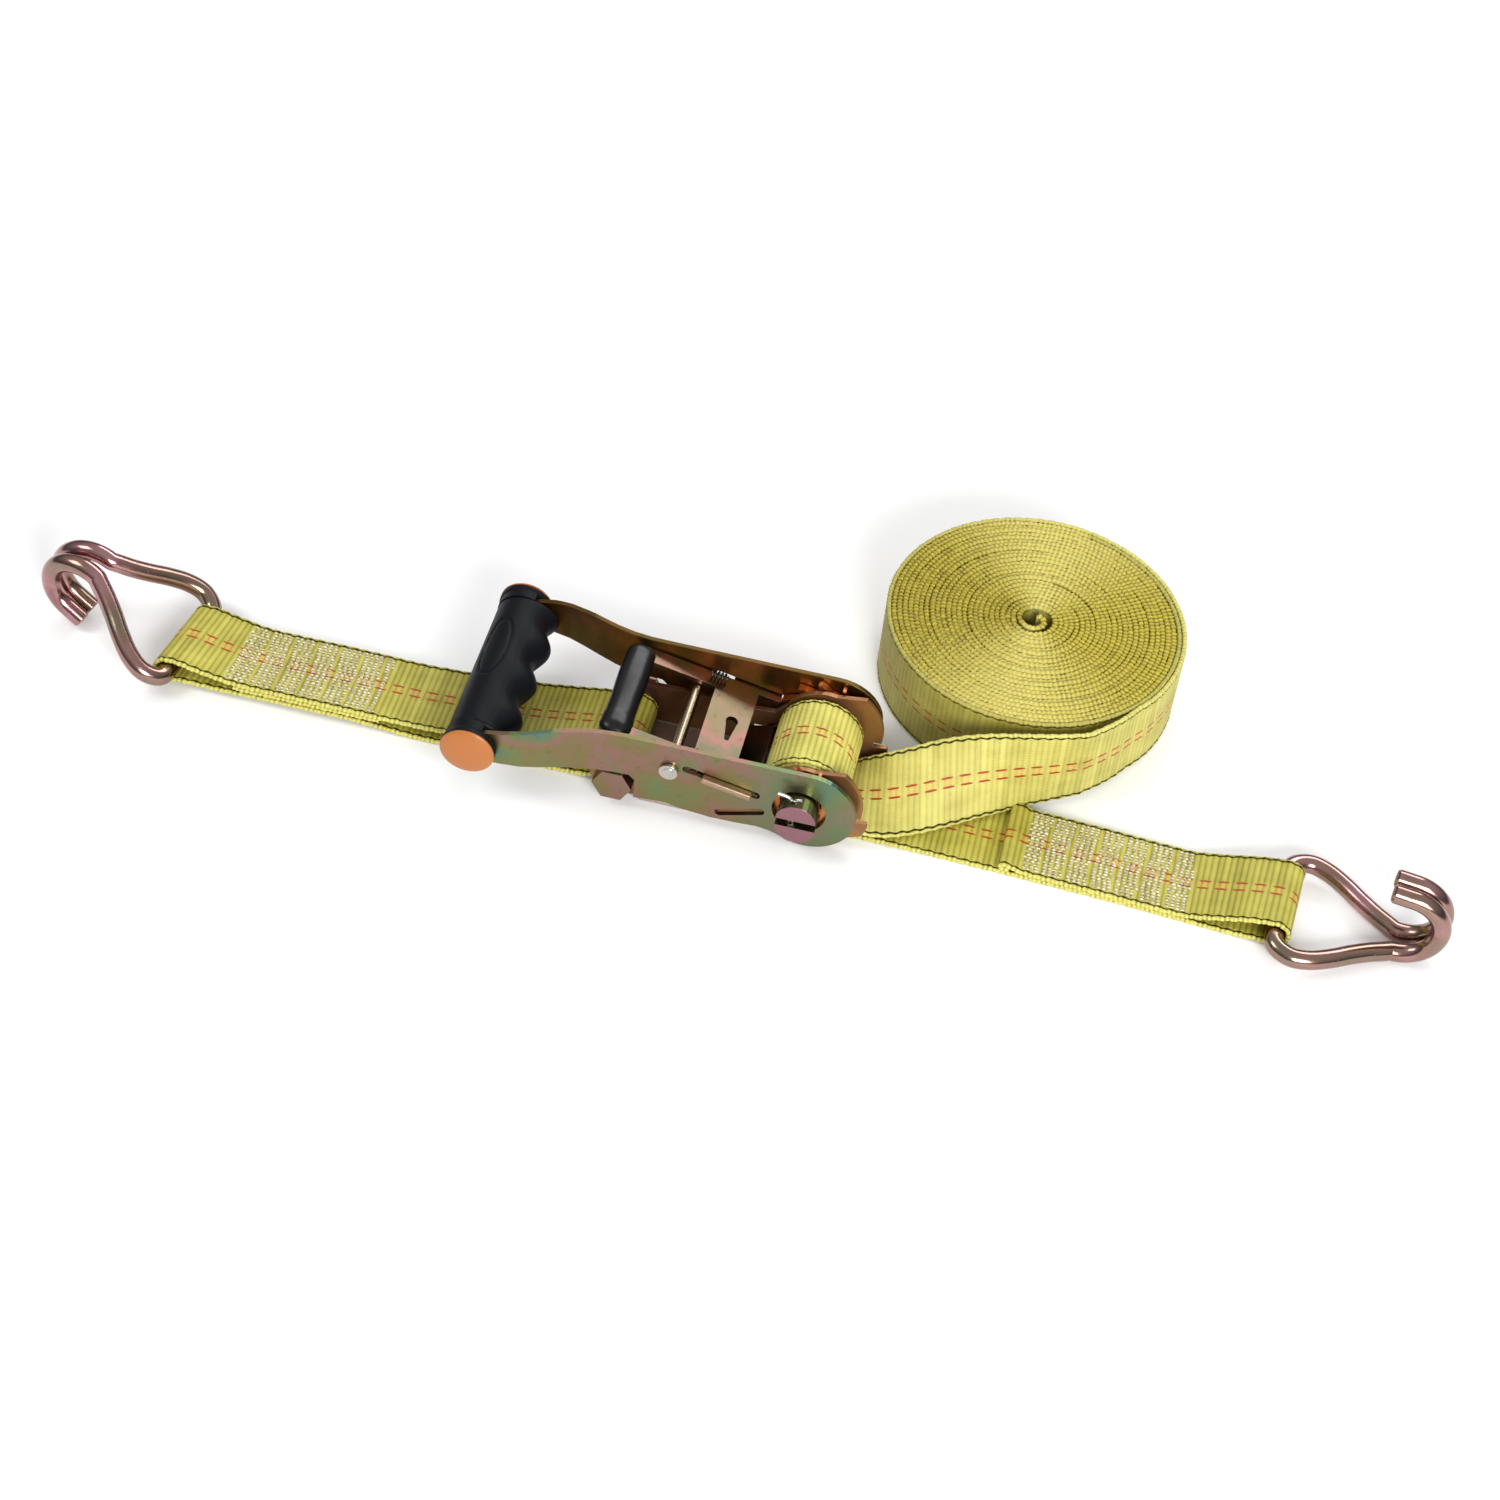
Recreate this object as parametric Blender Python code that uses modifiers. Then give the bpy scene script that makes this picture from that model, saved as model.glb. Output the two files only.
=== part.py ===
"""Ratchet tie down for 2 inch webbing.

A long-handle ratchet buckle with a fixed-end strap and hook on its left, a
hook-ended strap that runs into the slotted mandrel from the right, and the
loose tail of that strap leaving the mandrel and wound into a flat coil.

Axes: +X along the straps to the right, +Y to the far side of the ratchet, +Z up.
Origin: middle of the underside of the base frame's floor plate.
Sizes are in millimetres; MM turns them into metres.
"""

import math

import bmesh
import bpy
from mathutils import Matrix, Vector

MM = 0.001
SIDES = (("near", -1), ("far", 1))

# ---------------------------------------------------------------- dimensions
WEB_HALF = 25.4              # half of the webbing width
WEB_T = 2.3                  # webbing thickness

# axes along Y
HUB_X, HUB_Z = 63.0, 28.5    # mandrel
HUB_AXIS = (HUB_X, HUB_Z)
HUB = (HUB_X, 0, HUB_Z)
BOLT_AXIS = (-44.0, 16.0)    # webbing bolt, (x, z)
GRIP_AXIS = (-121.5, 41.0)   # handle grip
ROD_AXIS = (-12.0, 39.0)     # handle cross rod

# the plates on each side, from and to in |y|
PLATE_T, PLATE_GAP = 3.0, 0.6
BASE_IN = 29.0
BASE_OUT = BASE_IN + PLATE_T
WHEEL_IN = BASE_OUT + PLATE_GAP
WHEEL_OUT = WHEEL_IN + 4.5
ARM_IN = WHEEL_OUT + PLATE_GAP       # arms beside the hub
ARM_OUT = ARM_IN + PLATE_T
ARM_FLARE = 15.8                     # how far the arms spread at the grip
FLARE_FROM, FLARE_TO = -33.0, -104.0
FLARE_BENDS = 7

TEETH = 12
TOOTH_TIP, TOOTH_ROOT = 27.6, 21.2
SHAFT_R, SHAFT_FLAT = 11.4, 2.7      # half shafts: radius, and their flats' distance from the axis
SHAFT_HALF = 51.0                    # half the shafts' length
HUB_HOLE = 15.2
ROLL_R = 26.3                        # webbing wound on the mandrel
SPLIT_PIN_X, SPLIT_PIN_Y = HUB_X - 3.0, 46.5

BOLT_HOLE, GRIP_HOLE = 6.4, 6.4
HEX_R, HEX_TURN = 11.6, math.radians(30)
HEX_GAP = 0.3                        # between the bolt's hexagons and the base

PAWL_T = 3.0
DRIVE_ANGLE = math.radians(168)      # plane of the drive pawl, seen from the near side
LOCK_ANGLE = math.radians(198)       # plane of the lock pawl

GRIP_DEPTH, GRIP_HEIGHT = 15.4, 15.0     # grip radii along X and Z, without the swells
SWELL_END, SWELL_PITCH = 46.0, 23.0      # outermost swell's |y|, and the swells' spacing
SWELL_MEAN, SWELL_WAVE = 4.6, 3.0

WIRE_R = 5.5                         # hook wire
WIRE_APART = WIRE_R + 0.25           # half the spacing of the two wires of the curl
HOOK_CURL_R, HOOK_REACH = 21.2, 63.8     # curl radius, and its centre's distance from the crossbar
HOOK_HALF = 36.2                     # half the hook's greatest width, to the middle of the wire
HOOK_NECK = 0.22                     # half width where the curl starts, as a share of HOOK_HALF
LEFT_BAR = (-308.0, -0.4, 11.2)      # middle of the left hook's crossbar
RIGHT_BAR = (335.6, -12.8, 11.2)
LEFT_LOOP_Y, RIGHT_LOOP_Y = 0.8, -11.8   # middle of each strap where it wraps its crossbar
LEFT_TILT, RIGHT_TILT = math.radians(35.0), math.radians(-4.6)
LEFT_YAW, RIGHT_YAW = math.radians(-9.5), math.radians(-4.0)
LOOP_IN = WIRE_R + 1.0               # radii of the strap round a crossbar
LOOP_OUT = LOOP_IN + WEB_T
BOLT_WRAP = 8.7                      # inner radius of the strap round the bolt
LEFT_SWAY_FROM = -64.0               # x where the fixed-end strap starts to drift
HOOK_STRAP_START = HUB_X + 8

COIL_X, COIL_Y, COIL_Z = 167.0, 129.5, 0.6
COIL_R, COIL_EYE = 86.3, 10.0
COIL_H = 2 * WEB_HALF

# ---------------------------------------------------------------- scene and materials
for old in list(bpy.data.objects):
    bpy.data.objects.remove(old, do_unlink=True)

PARTS = bpy.data.collections.new("ratchet_tie_down")
CUTTERS = bpy.data.collections.new("cutters")
bpy.context.scene.collection.children.link(PARTS)
bpy.context.scene.collection.children.link(CUTTERS)


def material(name, colour, metallic, roughness):
    mat = bpy.data.materials.new(name)
    mat.use_nodes = True
    shader = mat.node_tree.nodes["Principled BSDF"]
    shader.inputs["Base Color"].default_value = (*colour, 1.0)
    shader.inputs["Metallic"].default_value = metallic
    shader.inputs["Roughness"].default_value = roughness
    mat.diffuse_color = (*colour, 1.0)
    return mat


ZINC = material("yellow_zinc_steel", colour=(0.52, 0.47, 0.26), metallic=1.0, roughness=0.34)
COPPER = material("copper_tinted_zinc", colour=(0.62, 0.36, 0.22), metallic=1.0, roughness=0.32)
HOOK = material("bronze_zinc_wire", colour=(0.50, 0.34, 0.28), metallic=1.0, roughness=0.22)
STEEL = material("spring_steel", colour=(0.30, 0.30, 0.30), metallic=1.0, roughness=0.35)
WEBBING = material("yellow_polyester_webbing", colour=(0.66, 0.60, 0.16), metallic=0.0,
                   roughness=0.75)
GRIP = material("black_grip_plastic", colour=(0.018, 0.021, 0.028), metallic=0.0, roughness=0.45)
CAP = material("orange_cap_plastic", colour=(0.86, 0.30, 0.07), metallic=0.0, roughness=0.45)
COATING = material("black_dip_coating", colour=(0.010, 0.010, 0.012), metallic=0.0,
                   roughness=0.16)


# ---------------------------------------------------------------- points and outlines
def metres(x, y, z):
    return Vector((x * MM, y * MM, z * MM))


def span(sign, inner, outer):
    """The low and high y of something that runs from inner to outer in |y| on one side."""
    return sorted((sign * inner, sign * outer))


def arc(centre_x, centre_z, radius, start, end, steps):
    """Points round a centre, in degrees, both ends included."""
    points = []
    for i in range(steps + 1):
        angle = math.radians(start + (end - start) * i / steps)
        points.append((centre_x + radius * math.cos(angle), centre_z + radius * math.sin(angle)))
    return points


def circle(centre_x, centre_z, radius, steps=28):
    return arc(centre_x, centre_z, radius, 0, 360 - 360 / steps, steps - 1)


def half_disc(flat, radius, sign):
    """A half disc on the upper (+1) or lower (-1) side of the mandrel's slot."""
    return [(x, sign * z) for x, z in arc(0, flat, radius, 0, 180, 12)]


def offset(points, dx, dz=0.0):
    return [(dx + x, dz + z) for x, z in points]


def rotated(points, angle):
    cosine, sine = math.cos(angle), math.sin(angle)
    return [(x * cosine - z * sine, x * sine + z * cosine) for x, z in points]


def ray_slot(angle, r_from, r_to, half_width):
    """A round-ended slot along a ray from the hub."""
    ends = arc(r_to, 0, half_width, -90, 90, 6) + arc(r_from, 0, half_width, 90, 270, 6)
    return offset(rotated(ends, angle), *HUB_AXIS)


def ray_point(angle, radius, y=0, below=0):
    """A point by a leftward ray from the hub: distance along it, y, and distance below it."""
    (x, z), = rotated([(radius, below)], angle)
    return (HUB_X + x, y, HUB_Z + z)


def with_mirror(half):
    """Closes half an outline of (radius, y) points with its mirror image in y."""
    return half + [(radius, -y) for radius, y in reversed(half)]


def catmull(points, steps_per_span):
    """A smooth line through the points."""
    line = []
    last = len(points) - 1
    for i in range(last):
        around = (points[max(i - 1, 0)], points[i], points[i + 1], points[min(i + 2, last)])
        for k in range(steps_per_span):
            t = k / steps_per_span
            line.append(tuple(
                0.5 * (2 * p1 + (p2 - p0) * t + (2 * p0 - 5 * p1 + 4 * p2 - p3) * t * t
                       + (3 * p1 - p0 - 3 * p2 + p3) * t ** 3)
                for p0, p1, p2, p3 in zip(*around)))
    line.append(tuple(points[-1]))
    return line


def straightened(curve, knots):
    """The function curve(x), made straight between neighbouring knots."""
    def value(x):
        if x <= knots[0] or x >= knots[-1]:
            return curve(x)
        for start, end in zip(knots, knots[1:]):
            if x <= end:
                t = (x - start) / (end - start)
                return curve(start) * (1 - t) + curve(end) * t
    return value


# ---------------------------------------------------------------- making solids
def link(obj, mat=None):
    """Adds a piece with its material, or a boolean helper if there is none."""
    if mat:
        PARTS.objects.link(obj)
        obj.data.materials.append(mat)
    else:
        CUTTERS.objects.link(obj)
    return obj


def from_bmesh(name, bm, mat=None):
    mesh = bpy.data.meshes.new(name)
    bm.to_mesh(mesh)
    bm.free()
    return link(bpy.data.objects.new(name, mesh), mat)


def new_curve(name, dimensions, lines, closed):
    """A linked curve object of straight-segment lines."""
    curve = bpy.data.curves.new(name, "CURVE")
    curve.dimensions = dimensions
    for line in lines:
        spline = curve.splines.new("POLY")
        spline.points.add(len(line) - 1)
        for point, xyz in zip(spline.points, line):
            point.co = (*metres(*xyz), 1)
        spline.use_cyclic_u = closed
    obj = bpy.data.objects.new(name, curve)
    PARTS.objects.link(obj)
    return obj


def to_mesh(obj, mat):
    """Replaces a curve object with its evaluated mesh, its caps welded on."""
    bpy.context.view_layer.update()
    graph = bpy.context.evaluated_depsgraph_get()
    mesh = bpy.data.meshes.new_from_object(obj.evaluated_get(graph))
    bm = bmesh.new()
    bm.from_mesh(mesh)
    bmesh.ops.remove_doubles(bm, verts=bm.verts, dist=1e-6)
    bmesh.ops.recalc_face_normals(bm, faces=bm.faces)
    bm.to_mesh(mesh)
    bm.free()
    name, world, curve = obj.name, obj.matrix_world.copy(), obj.data
    bpy.data.objects.remove(obj, do_unlink=True)
    bpy.data.curves.remove(curve)
    new = bpy.data.objects.new(name, mesh)
    new.matrix_world = world
    return link(new, mat)


def flat_curve(name, loops, thickness):
    """A filled, extruded blank in its own XY plane; the first loop is the outline."""
    lines = [[(x, y, 0) for x, y in loop] for loop in loops]
    obj = new_curve(name, "2D", lines, closed=True)
    obj.data.fill_mode = "BOTH"
    obj.data.extrude = thickness / 2 * MM
    return obj


def plate(name, loops, y_low, y_high, mat, origin=(0, 0)):
    """A blank in the XZ plane; loops hold (x, z) points from the origin."""
    obj = flat_curve(name, loops, y_high - y_low)
    obj.rotation_euler = (math.pi / 2, 0, 0)
    obj.location = metres(origin[0], (y_low + y_high) / 2, origin[1])
    return to_mesh(obj, mat)


def ray_plate(name, loops, angle, mat):
    """A pawl blank in the plane of a ray from the hub and the Y axis; loops hold (radius, y)."""
    obj = flat_curve(name, loops, PAWL_T)
    obj.matrix_world = Matrix.Translation(metres(*HUB)) @ Matrix.Rotation(-angle, 4, "Y")
    return to_mesh(obj, mat)


def wire(name, points, radius, mat, resolution):
    """A round wire with closed ends."""
    obj = new_curve(name, "3D", [points], closed=False)
    obj.data.bevel_depth = radius * MM
    obj.data.bevel_resolution = resolution
    obj.data.use_fill_caps = True
    return to_mesh(obj, mat)


def helper_box(name, low, high, turn=None):
    """A boolean helper between two corners, optionally turned about the hub."""
    bm = bmesh.new()
    bmesh.ops.create_cube(bm, size=1.0)
    size = [b - a for a, b in zip(low, high)]
    bmesh.ops.scale(bm, vec=Vector(size) * MM, verts=bm.verts)
    obj = from_bmesh(name, bm)
    middle = metres(*[(a + b) / 2 for a, b in zip(low, high)])
    obj.location = middle
    if turn is not None:
        pivot = metres(*HUB)
        rotation = Matrix.Rotation(turn, 4, "Y")
        obj.matrix_world = (Matrix.Translation(pivot) @ rotation
                            @ Matrix.Translation(middle - pivot))
    return obj


def prism(name, radius, length, segments, matrix, mat=None):
    """A cylinder or prism centred on its origin, along Z before matrix is applied."""
    bm = bmesh.new()
    bmesh.ops.create_cone(bm, cap_ends=True, segments=segments, radius1=radius * MM,
                          radius2=radius * MM, depth=length * MM, matrix=matrix)
    return from_bmesh(name, bm, mat)


def cylinder(name, axis, radius, y_low, y_high, mat=None, segments=28, turn=0.0):
    """A cylinder or prism along Y; axis is (x, z)."""
    matrix = Matrix.Rotation(math.pi / 2, 4, "X") @ Matrix.Rotation(turn, 4, "Z")
    obj = prism(name, radius, y_high - y_low, segments, matrix, mat)
    obj.location = metres(axis[0], (y_low + y_high) / 2, axis[1])
    return obj


def turned(name, profile, mat, steps=28):
    """A piece turned about its own Z; profile holds (radius, height), top to bottom."""
    bm = bmesh.new()
    verts = [bm.verts.new((radius * MM, 0, height * MM)) for radius, height in profile]
    for start, end in zip(verts, verts[1:]):
        bm.edges.new((start, end))
    if profile[0][0] > 0 and profile[-1][0] > 0:
        bm.edges.new((verts[-1], verts[0]))
    obj = from_bmesh(name, bm, mat)
    screw = obj.modifiers.new("turn", "SCREW")
    screw.steps = screw.render_steps = steps
    screw.use_merge_vertices = True
    screw.merge_threshold = 0.00005
    screw.use_smooth_shade = True
    return obj


def combine(obj, helper, operation="DIFFERENCE"):
    helper.hide_render = True
    helper.display_type = "WIRE"
    modifier = obj.modifiers.new(helper.name, "BOOLEAN")
    modifier.operation = operation
    modifier.object = helper
    modifier.solver = "EXACT"


def at_origin(obj, x, y, z):
    """Moves the object's own origin to a point, leaving its shape where it is."""
    bpy.context.view_layer.update()
    world = obj.matrix_world.copy()
    target = Matrix.Translation(metres(x, y, z))
    obj.data.transform(target.inverted() @ world)
    obj.matrix_world = target


def sway(obj, planes, shift, lean=None):
    """Cuts the blank across X at each plane, then moves its points.

    They move along Y by shift(x), then along X by lean(x, y).
    """
    bpy.context.view_layer.update()
    obj.data.transform(obj.matrix_world.copy())
    obj.matrix_world = Matrix.Identity(4)
    bm = bmesh.new()
    bm.from_mesh(obj.data)
    for x in planes:
        everything = list(bm.verts) + list(bm.edges) + list(bm.faces)
        bmesh.ops.bisect_plane(bm, geom=everything, dist=1e-7, plane_co=metres(x, 0, 0),
                               plane_no=(1, 0, 0))
    for vert in bm.verts:
        x = vert.co.x / MM
        vert.co.y += shift(x) * MM
        if lean:
            vert.co.x += lean(x, vert.co.y / MM) * MM
    bm.to_mesh(obj.data)
    bm.free()


# ---------------------------------------------------------------- base frame
def build_base():
    """The channel: two side plates, a floor, pawl slots and an upright spring tab."""
    outline = (
        arc(*BOLT_AXIS, 14.5, 300, 90, 14)
        + [(-22, 31.5), (3, 30.0), (18, 29.3), (34, 30.6)]
        + arc(*HUB_AXIS, 24.5, 160, 78, 8)
        + arc(*HUB_AXIS, 34.5, 50, -8, 7)
        # notch and lobe at the right end
        + offset([(28.5, -5.0), (29.5, -8.6), (37.5, -8.0), (38.2, -11.0), (36.0, -18.0),
                  (26.0, -22.5)], *HUB_AXIS)
        + [(HUB_X + 10, 3.6), (29, 0), (-29, 0)]
    )
    holes = [circle(*BOLT_AXIS, BOLT_HOLE), circle(*HUB_AXIS, HUB_HOLE)]
    base = plate("base_frame", [outline] + holes, -BASE_OUT, BASE_OUT, ZINC)
    combine(base, helper_box("base_channel", (-90, -BASE_IN, PLATE_T), (110, BASE_IN, 90)))
    combine(base, helper_box("base_floor_end", (29.5, -BASE_IN, -5.0), (110, BASE_IN, 10)))
    slot_half = 1.95
    combine(base, helper_box("base_pawl_slots", (HUB_X + 21.0, -34, HUB_Z - slot_half),
                             (HUB_X + 42.8, 34, HUB_Z + slot_half), turn=-LOCK_ANGLE))
    combine(base, helper_box("base_spring_tab", (-5.5, -7, 1.5), (-3.0, 7, 12.5)), "UNION")


def build_webbing_bolt():
    bolt = cylinder("webbing_bolt", BOLT_AXIS, 6.0, -34.0, 43.0, ZINC)
    combine(bolt, cylinder("bolt_hex", BOLT_AXIS, HEX_R, -41.2, -BASE_OUT - HEX_GAP,
                           segments=6, turn=HEX_TURN), "UNION")
    nut = cylinder("webbing_bolt_nut", BOLT_AXIS, HEX_R, BASE_OUT + HEX_GAP, 40.2, ZINC,
                   segments=6, turn=HEX_TURN)
    combine(nut, cylinder("nut_bore", BOLT_AXIS, 6.35, 30, 45))
    plate("webbing_bolt_sleeve", [circle(*BOLT_AXIS, 7.3), circle(*BOLT_AXIS, 6.45)],
          -28.6, 28.6, STEEL)


# ---------------------------------------------------------------- mandrel
def tooth_outline():
    """Saw teeth. Each steep face lies alongside a pawl that sits radially in the gap."""
    points = []
    half_gap = PAWL_T / 2 + 0.35
    for k in range(TEETH):
        pawl = LOCK_ANGLE + 2 * math.pi * k / TEETH
        root = pawl - math.asin(half_gap / TOOTH_ROOT)
        tip = pawl - math.asin(half_gap / TOOTH_TIP)
        points += [
            (tip - math.radians(11), TOOTH_TIP - 3.0),
            (tip - math.radians(4), TOOTH_TIP),
            (tip, TOOTH_TIP),
            (root, TOOTH_ROOT),
            (pawl + math.radians(6), TOOTH_ROOT),
        ]
    return [(radius * math.cos(angle), radius * math.sin(angle)) for angle, radius in points]


def build_wheels_and_roll():
    """The ratchet wheels and the wound webbing, each with holes that clear the half shafts."""
    holes = [half_disc(SHAFT_FLAT - 0.3, SHAFT_R + 0.6, sign) for sign in (1, -1)]
    for tag, sign in SIDES:
        plate("ratchet_wheel_" + tag, [tooth_outline()] + holes,
              *span(sign, WHEEL_IN, WHEEL_OUT), COPPER, HUB_AXIS)
    plate("webbing_roll", [circle(0, 0, ROLL_R, 40)] + holes, -WEB_HALF, WEB_HALF,
          WEBBING, HUB_AXIS)


def build_half_shafts():
    for label, half_sign in (("upper", 1), ("lower", -1)):
        shaft = plate("half_shaft_" + label, [half_disc(SHAFT_FLAT, SHAFT_R, half_sign)],
                      -SHAFT_HALF, SHAFT_HALF, ZINC, HUB_AXIS)
        for tag, sign in SIDES:
            hole = prism("pin_hole_%s_%s" % (label, tag), radius=1.9, length=34, segments=16,
                         matrix=Matrix.Identity(4))
            hole.location = metres(SPLIT_PIN_X, sign * SPLIT_PIN_Y, HUB_Z)
            combine(shaft, hole)


def build_split_pins():
    """Upright wire pins with an eye on top, the right leg bent out at the bottom."""
    leg = 0.95                   # each leg's distance from the pin's middle
    top = HUB_Z + 15.6
    path = (
        [(SPLIT_PIN_X - leg, HUB_Z - 17.0), (SPLIT_PIN_X - leg, top)]
        + arc(SPLIT_PIN_X, top + 3.6, 2.6, 215, -35, 12)
        + [(SPLIT_PIN_X + leg, top), (SPLIT_PIN_X + leg, HUB_Z - 15.6),
           (SPLIT_PIN_X + 2.8, HUB_Z - 18.0)]
    )
    for tag, sign in SIDES:
        points = [(x, sign * SPLIT_PIN_Y, z) for x, z in path]
        pin = wire("split_pin_" + tag, points, 0.75, STEEL, resolution=1)
        at_origin(pin, *HUB)


# ---------------------------------------------------------------- handle
def arm_flare(x):
    """How far the arm stands out from its place beside the hub."""
    t = min(max((FLARE_FROM - x) / (FLARE_FROM - FLARE_TO), 0.0), 1.0)
    t = t ** 1.35
    return ARM_FLARE * (t * t * (3 - 2 * t))


def build_arms():
    outline = (
        [(-10, 57.3), (-78, 57.3), (-100, 55.0)]
        + arc(*GRIP_AXIS, 10.8, 75, 285, 10)
        + [(-103, 31.0), (-68, 28.8), (-58, 27.9), (-34.5, 27.9), (-31.0, 24.5), (-31.0, 10.6),
           (-13, 12.4), (-5, 10.3), (13, 8.3), (29, 8.6), (40, 9.4), (48, 8.2)]
        + arc(HUB_X + 4.5, 29.9, 27.6, 238, 450, 26)
        + [(45, 57.5)]
    )
    loops = [
        outline,
        circle(*HUB_AXIS, HUB_HOLE + 0.2),
        circle(*GRIP_AXIS, GRIP_HOLE, 20),
        circle(*ROD_AXIS, 3.6, 16),
        ray_slot(DRIVE_ANGLE, 25.5, 66.5, 2.5),
        ray_slot(LOCK_ANGLE, 22.5, 47.0, 2.5),
    ]
    bends = [FLARE_FROM + (FLARE_TO - FLARE_FROM) * i / FLARE_BENDS
             for i in range(FLARE_BENDS + 1)]
    flare = straightened(arm_flare, sorted(bends))
    for tag, sign in SIDES:
        arm = plate("handle_arm_" + tag, loops, *span(sign, ARM_IN, ARM_OUT), ZINC)
        sway(arm, bends, lambda x: sign * flare(x))
        at_origin(arm, *HUB)


def build_handle_rods():
    rod = cylinder("handle_cross_rod", ROD_AXIS, 3.2, -43.4, 43.4, ZINC, segments=20)
    for tag, sign in SIDES:
        rivet = cylinder("rivet_" + tag, ROD_AXIS, 5.4, *span(sign, 41.0, 43.0), segments=20)
        combine(rod, rivet, "UNION")
    cylinder("grip_core_rod", GRIP_AXIS, 6.0, -60.0, 60.0, STEEL, segments=20)


def grip_bulge(y):
    """How far the finger side stands out at y: four hollows between five swells."""
    if abs(y) < SWELL_END:
        return SWELL_MEAN + SWELL_WAVE * math.cos(2 * math.pi * y / SWELL_PITCH)
    return SWELL_MEAN + SWELL_WAVE - (abs(y) - SWELL_END) * 0.35


def build_grip():
    """A handful grip: round on the left, drawn out on the side towards the hub."""
    stations = ([-52.0, -50.0]
                + [-SWELL_END + 2 * SWELL_END * i / 24 for i in range(25)]
                + [50.0, 52.0])
    around = 24
    bm = bmesh.new()
    rings = []
    for y in stations:
        trim = 1.6 if abs(y) > 51 else 0.0
        ring = []
        for k in range(around):
            angle = 2 * math.pi * k / around
            x = (GRIP_DEPTH - trim) * math.cos(angle)
            if x > 0:
                x *= 1 + grip_bulge(y) / GRIP_DEPTH
            z = (GRIP_HEIGHT - trim) * math.sin(angle)
            ring.append(bm.verts.new((x * MM, y * MM, z * MM)))
        rings.append(ring)
    for ring, ahead in zip(rings, rings[1:]):
        for k in range(around):
            after = (k + 1) % around
            bm.faces.new((ring[k], ahead[k], ahead[after], ring[after]))
    bm.faces.new(rings[0])
    bm.faces.new(reversed(rings[-1]))
    bmesh.ops.recalc_face_normals(bm, faces=bm.faces)
    grip = from_bmesh("handle_grip", bm, GRIP)
    grip.location = metres(GRIP_AXIS[0], 0, GRIP_AXIS[1])
    combine(grip, cylinder("grip_bore", GRIP_AXIS, GRIP_HOLE, -60, 60, segments=20))


def build_end_caps():
    """Domed caps on the ends of the grip's core rod."""
    profile = [  # radius, distance outward
        (0, 6.8), (4.5, 6.5), (9.0, 5.3), (12.8, 3.3), (15.2, 0.9), (16.0, -0.6),
        (16.0, -1.4), (7.4, -1.4), (7.4, 2.0), (0, 2.0),
    ]
    for tag, sign in SIDES:
        cap = turned("end_cap_" + tag, profile, CAP)
        cap.rotation_euler = (-math.pi / 2 * sign, 0, 0)
        cap.location = metres(GRIP_AXIS[0] - 1.0, sign * 58.4, GRIP_AXIS[1])


# ---------------------------------------------------------------- pawls and springs
def build_drive_pawl():
    """A flat pawl with a rectangular opening, a teardrop hole and a lip on its underside."""
    outline = with_mirror([(41.0, 32.45), (28.0, 32.45), (28.0, 43.0), (57.0, 43.0),
                           (57.0, 36.6), (116.0, 36.6)])
    opening = [(66.0, -26.5), (106.0, -26.5), (106.0, 26.5), (66.0, 26.5)]
    teardrop = [(51.0 + radial, y) for y, radial in
                arc(5.0, 0, 3.6, -120, 120, 8) + arc(-9.0, 0, 1.4, 120, 240, 6)]
    pawl = ray_plate("drive_pawl", [outline, opening, teardrop], DRIVE_ANGLE, COPPER)
    combine(pawl, helper_box("drive_lip", (HUB_X + 57.5, -35.5, HUB_Z - 0.5),
                             (HUB_X + 60.0, 35.5, HUB_Z + 9.0), turn=-DRIVE_ANGLE), "UNION")


def build_release_bar_cover():
    """A round-nosed cover, slotted to take the drive pawl's outer end."""
    section = [(103.0, 5.4), (103.0, 1.8), (116.4, 1.8), (116.4, -1.8), (103.0, -1.8),
               (103.0, -5.4)] + arc(114.6, 0, 6.0, -75, 75, 8)
    plate("release_bar_cover", [rotated(section, DRIVE_ANGLE)], -37.2, 37.2, COATING, HUB_AXIS)


def build_lock_pawl():
    outline = with_mirror([(29.0, 27.6), (21.5, 27.6), (21.5, 36.9), (34.0, 36.9),
                           (34.0, 28.4), (50.0, 28.4)])
    ray_plate("lock_pawl", [outline], LOCK_ANGLE, COPPER)


def coil_spring(name, start, angle, length, turns, radius, wire_r):
    """A helical spring running outward along a ray's direction."""
    axis = Vector((math.cos(angle), 0, math.sin(angle))).normalized()
    sideways = Vector((0, 1, 0))
    third = axis.cross(sideways)
    steps = turns * 12
    points = []
    for i in range(steps + 1):
        t = i / steps
        phase = 2 * math.pi * turns * t
        along = wire_r + (length - 2 * wire_r) * t
        points.append(tuple(Vector(start) + axis * along
                            + sideways * radius * math.cos(phase)
                            + third * radius * math.sin(phase)))
    wire(name, points, wire_r, STEEL, resolution=1)


def build_springs():
    for tag, sign in SIDES:
        coil_spring("drive_spring_" + tag, ray_point(DRIVE_ANGLE, 60.4, sign * 31.2, below=5.0),
                    DRIVE_ANGLE, length=11.2, turns=5, radius=2.6, wire_r=0.5)
    coil_spring("lock_spring", ray_point(LOCK_ANGLE, 50.5), LOCK_ANGLE,
                length=17.0, turns=6, radius=3.0, wire_r=0.55)


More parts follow.
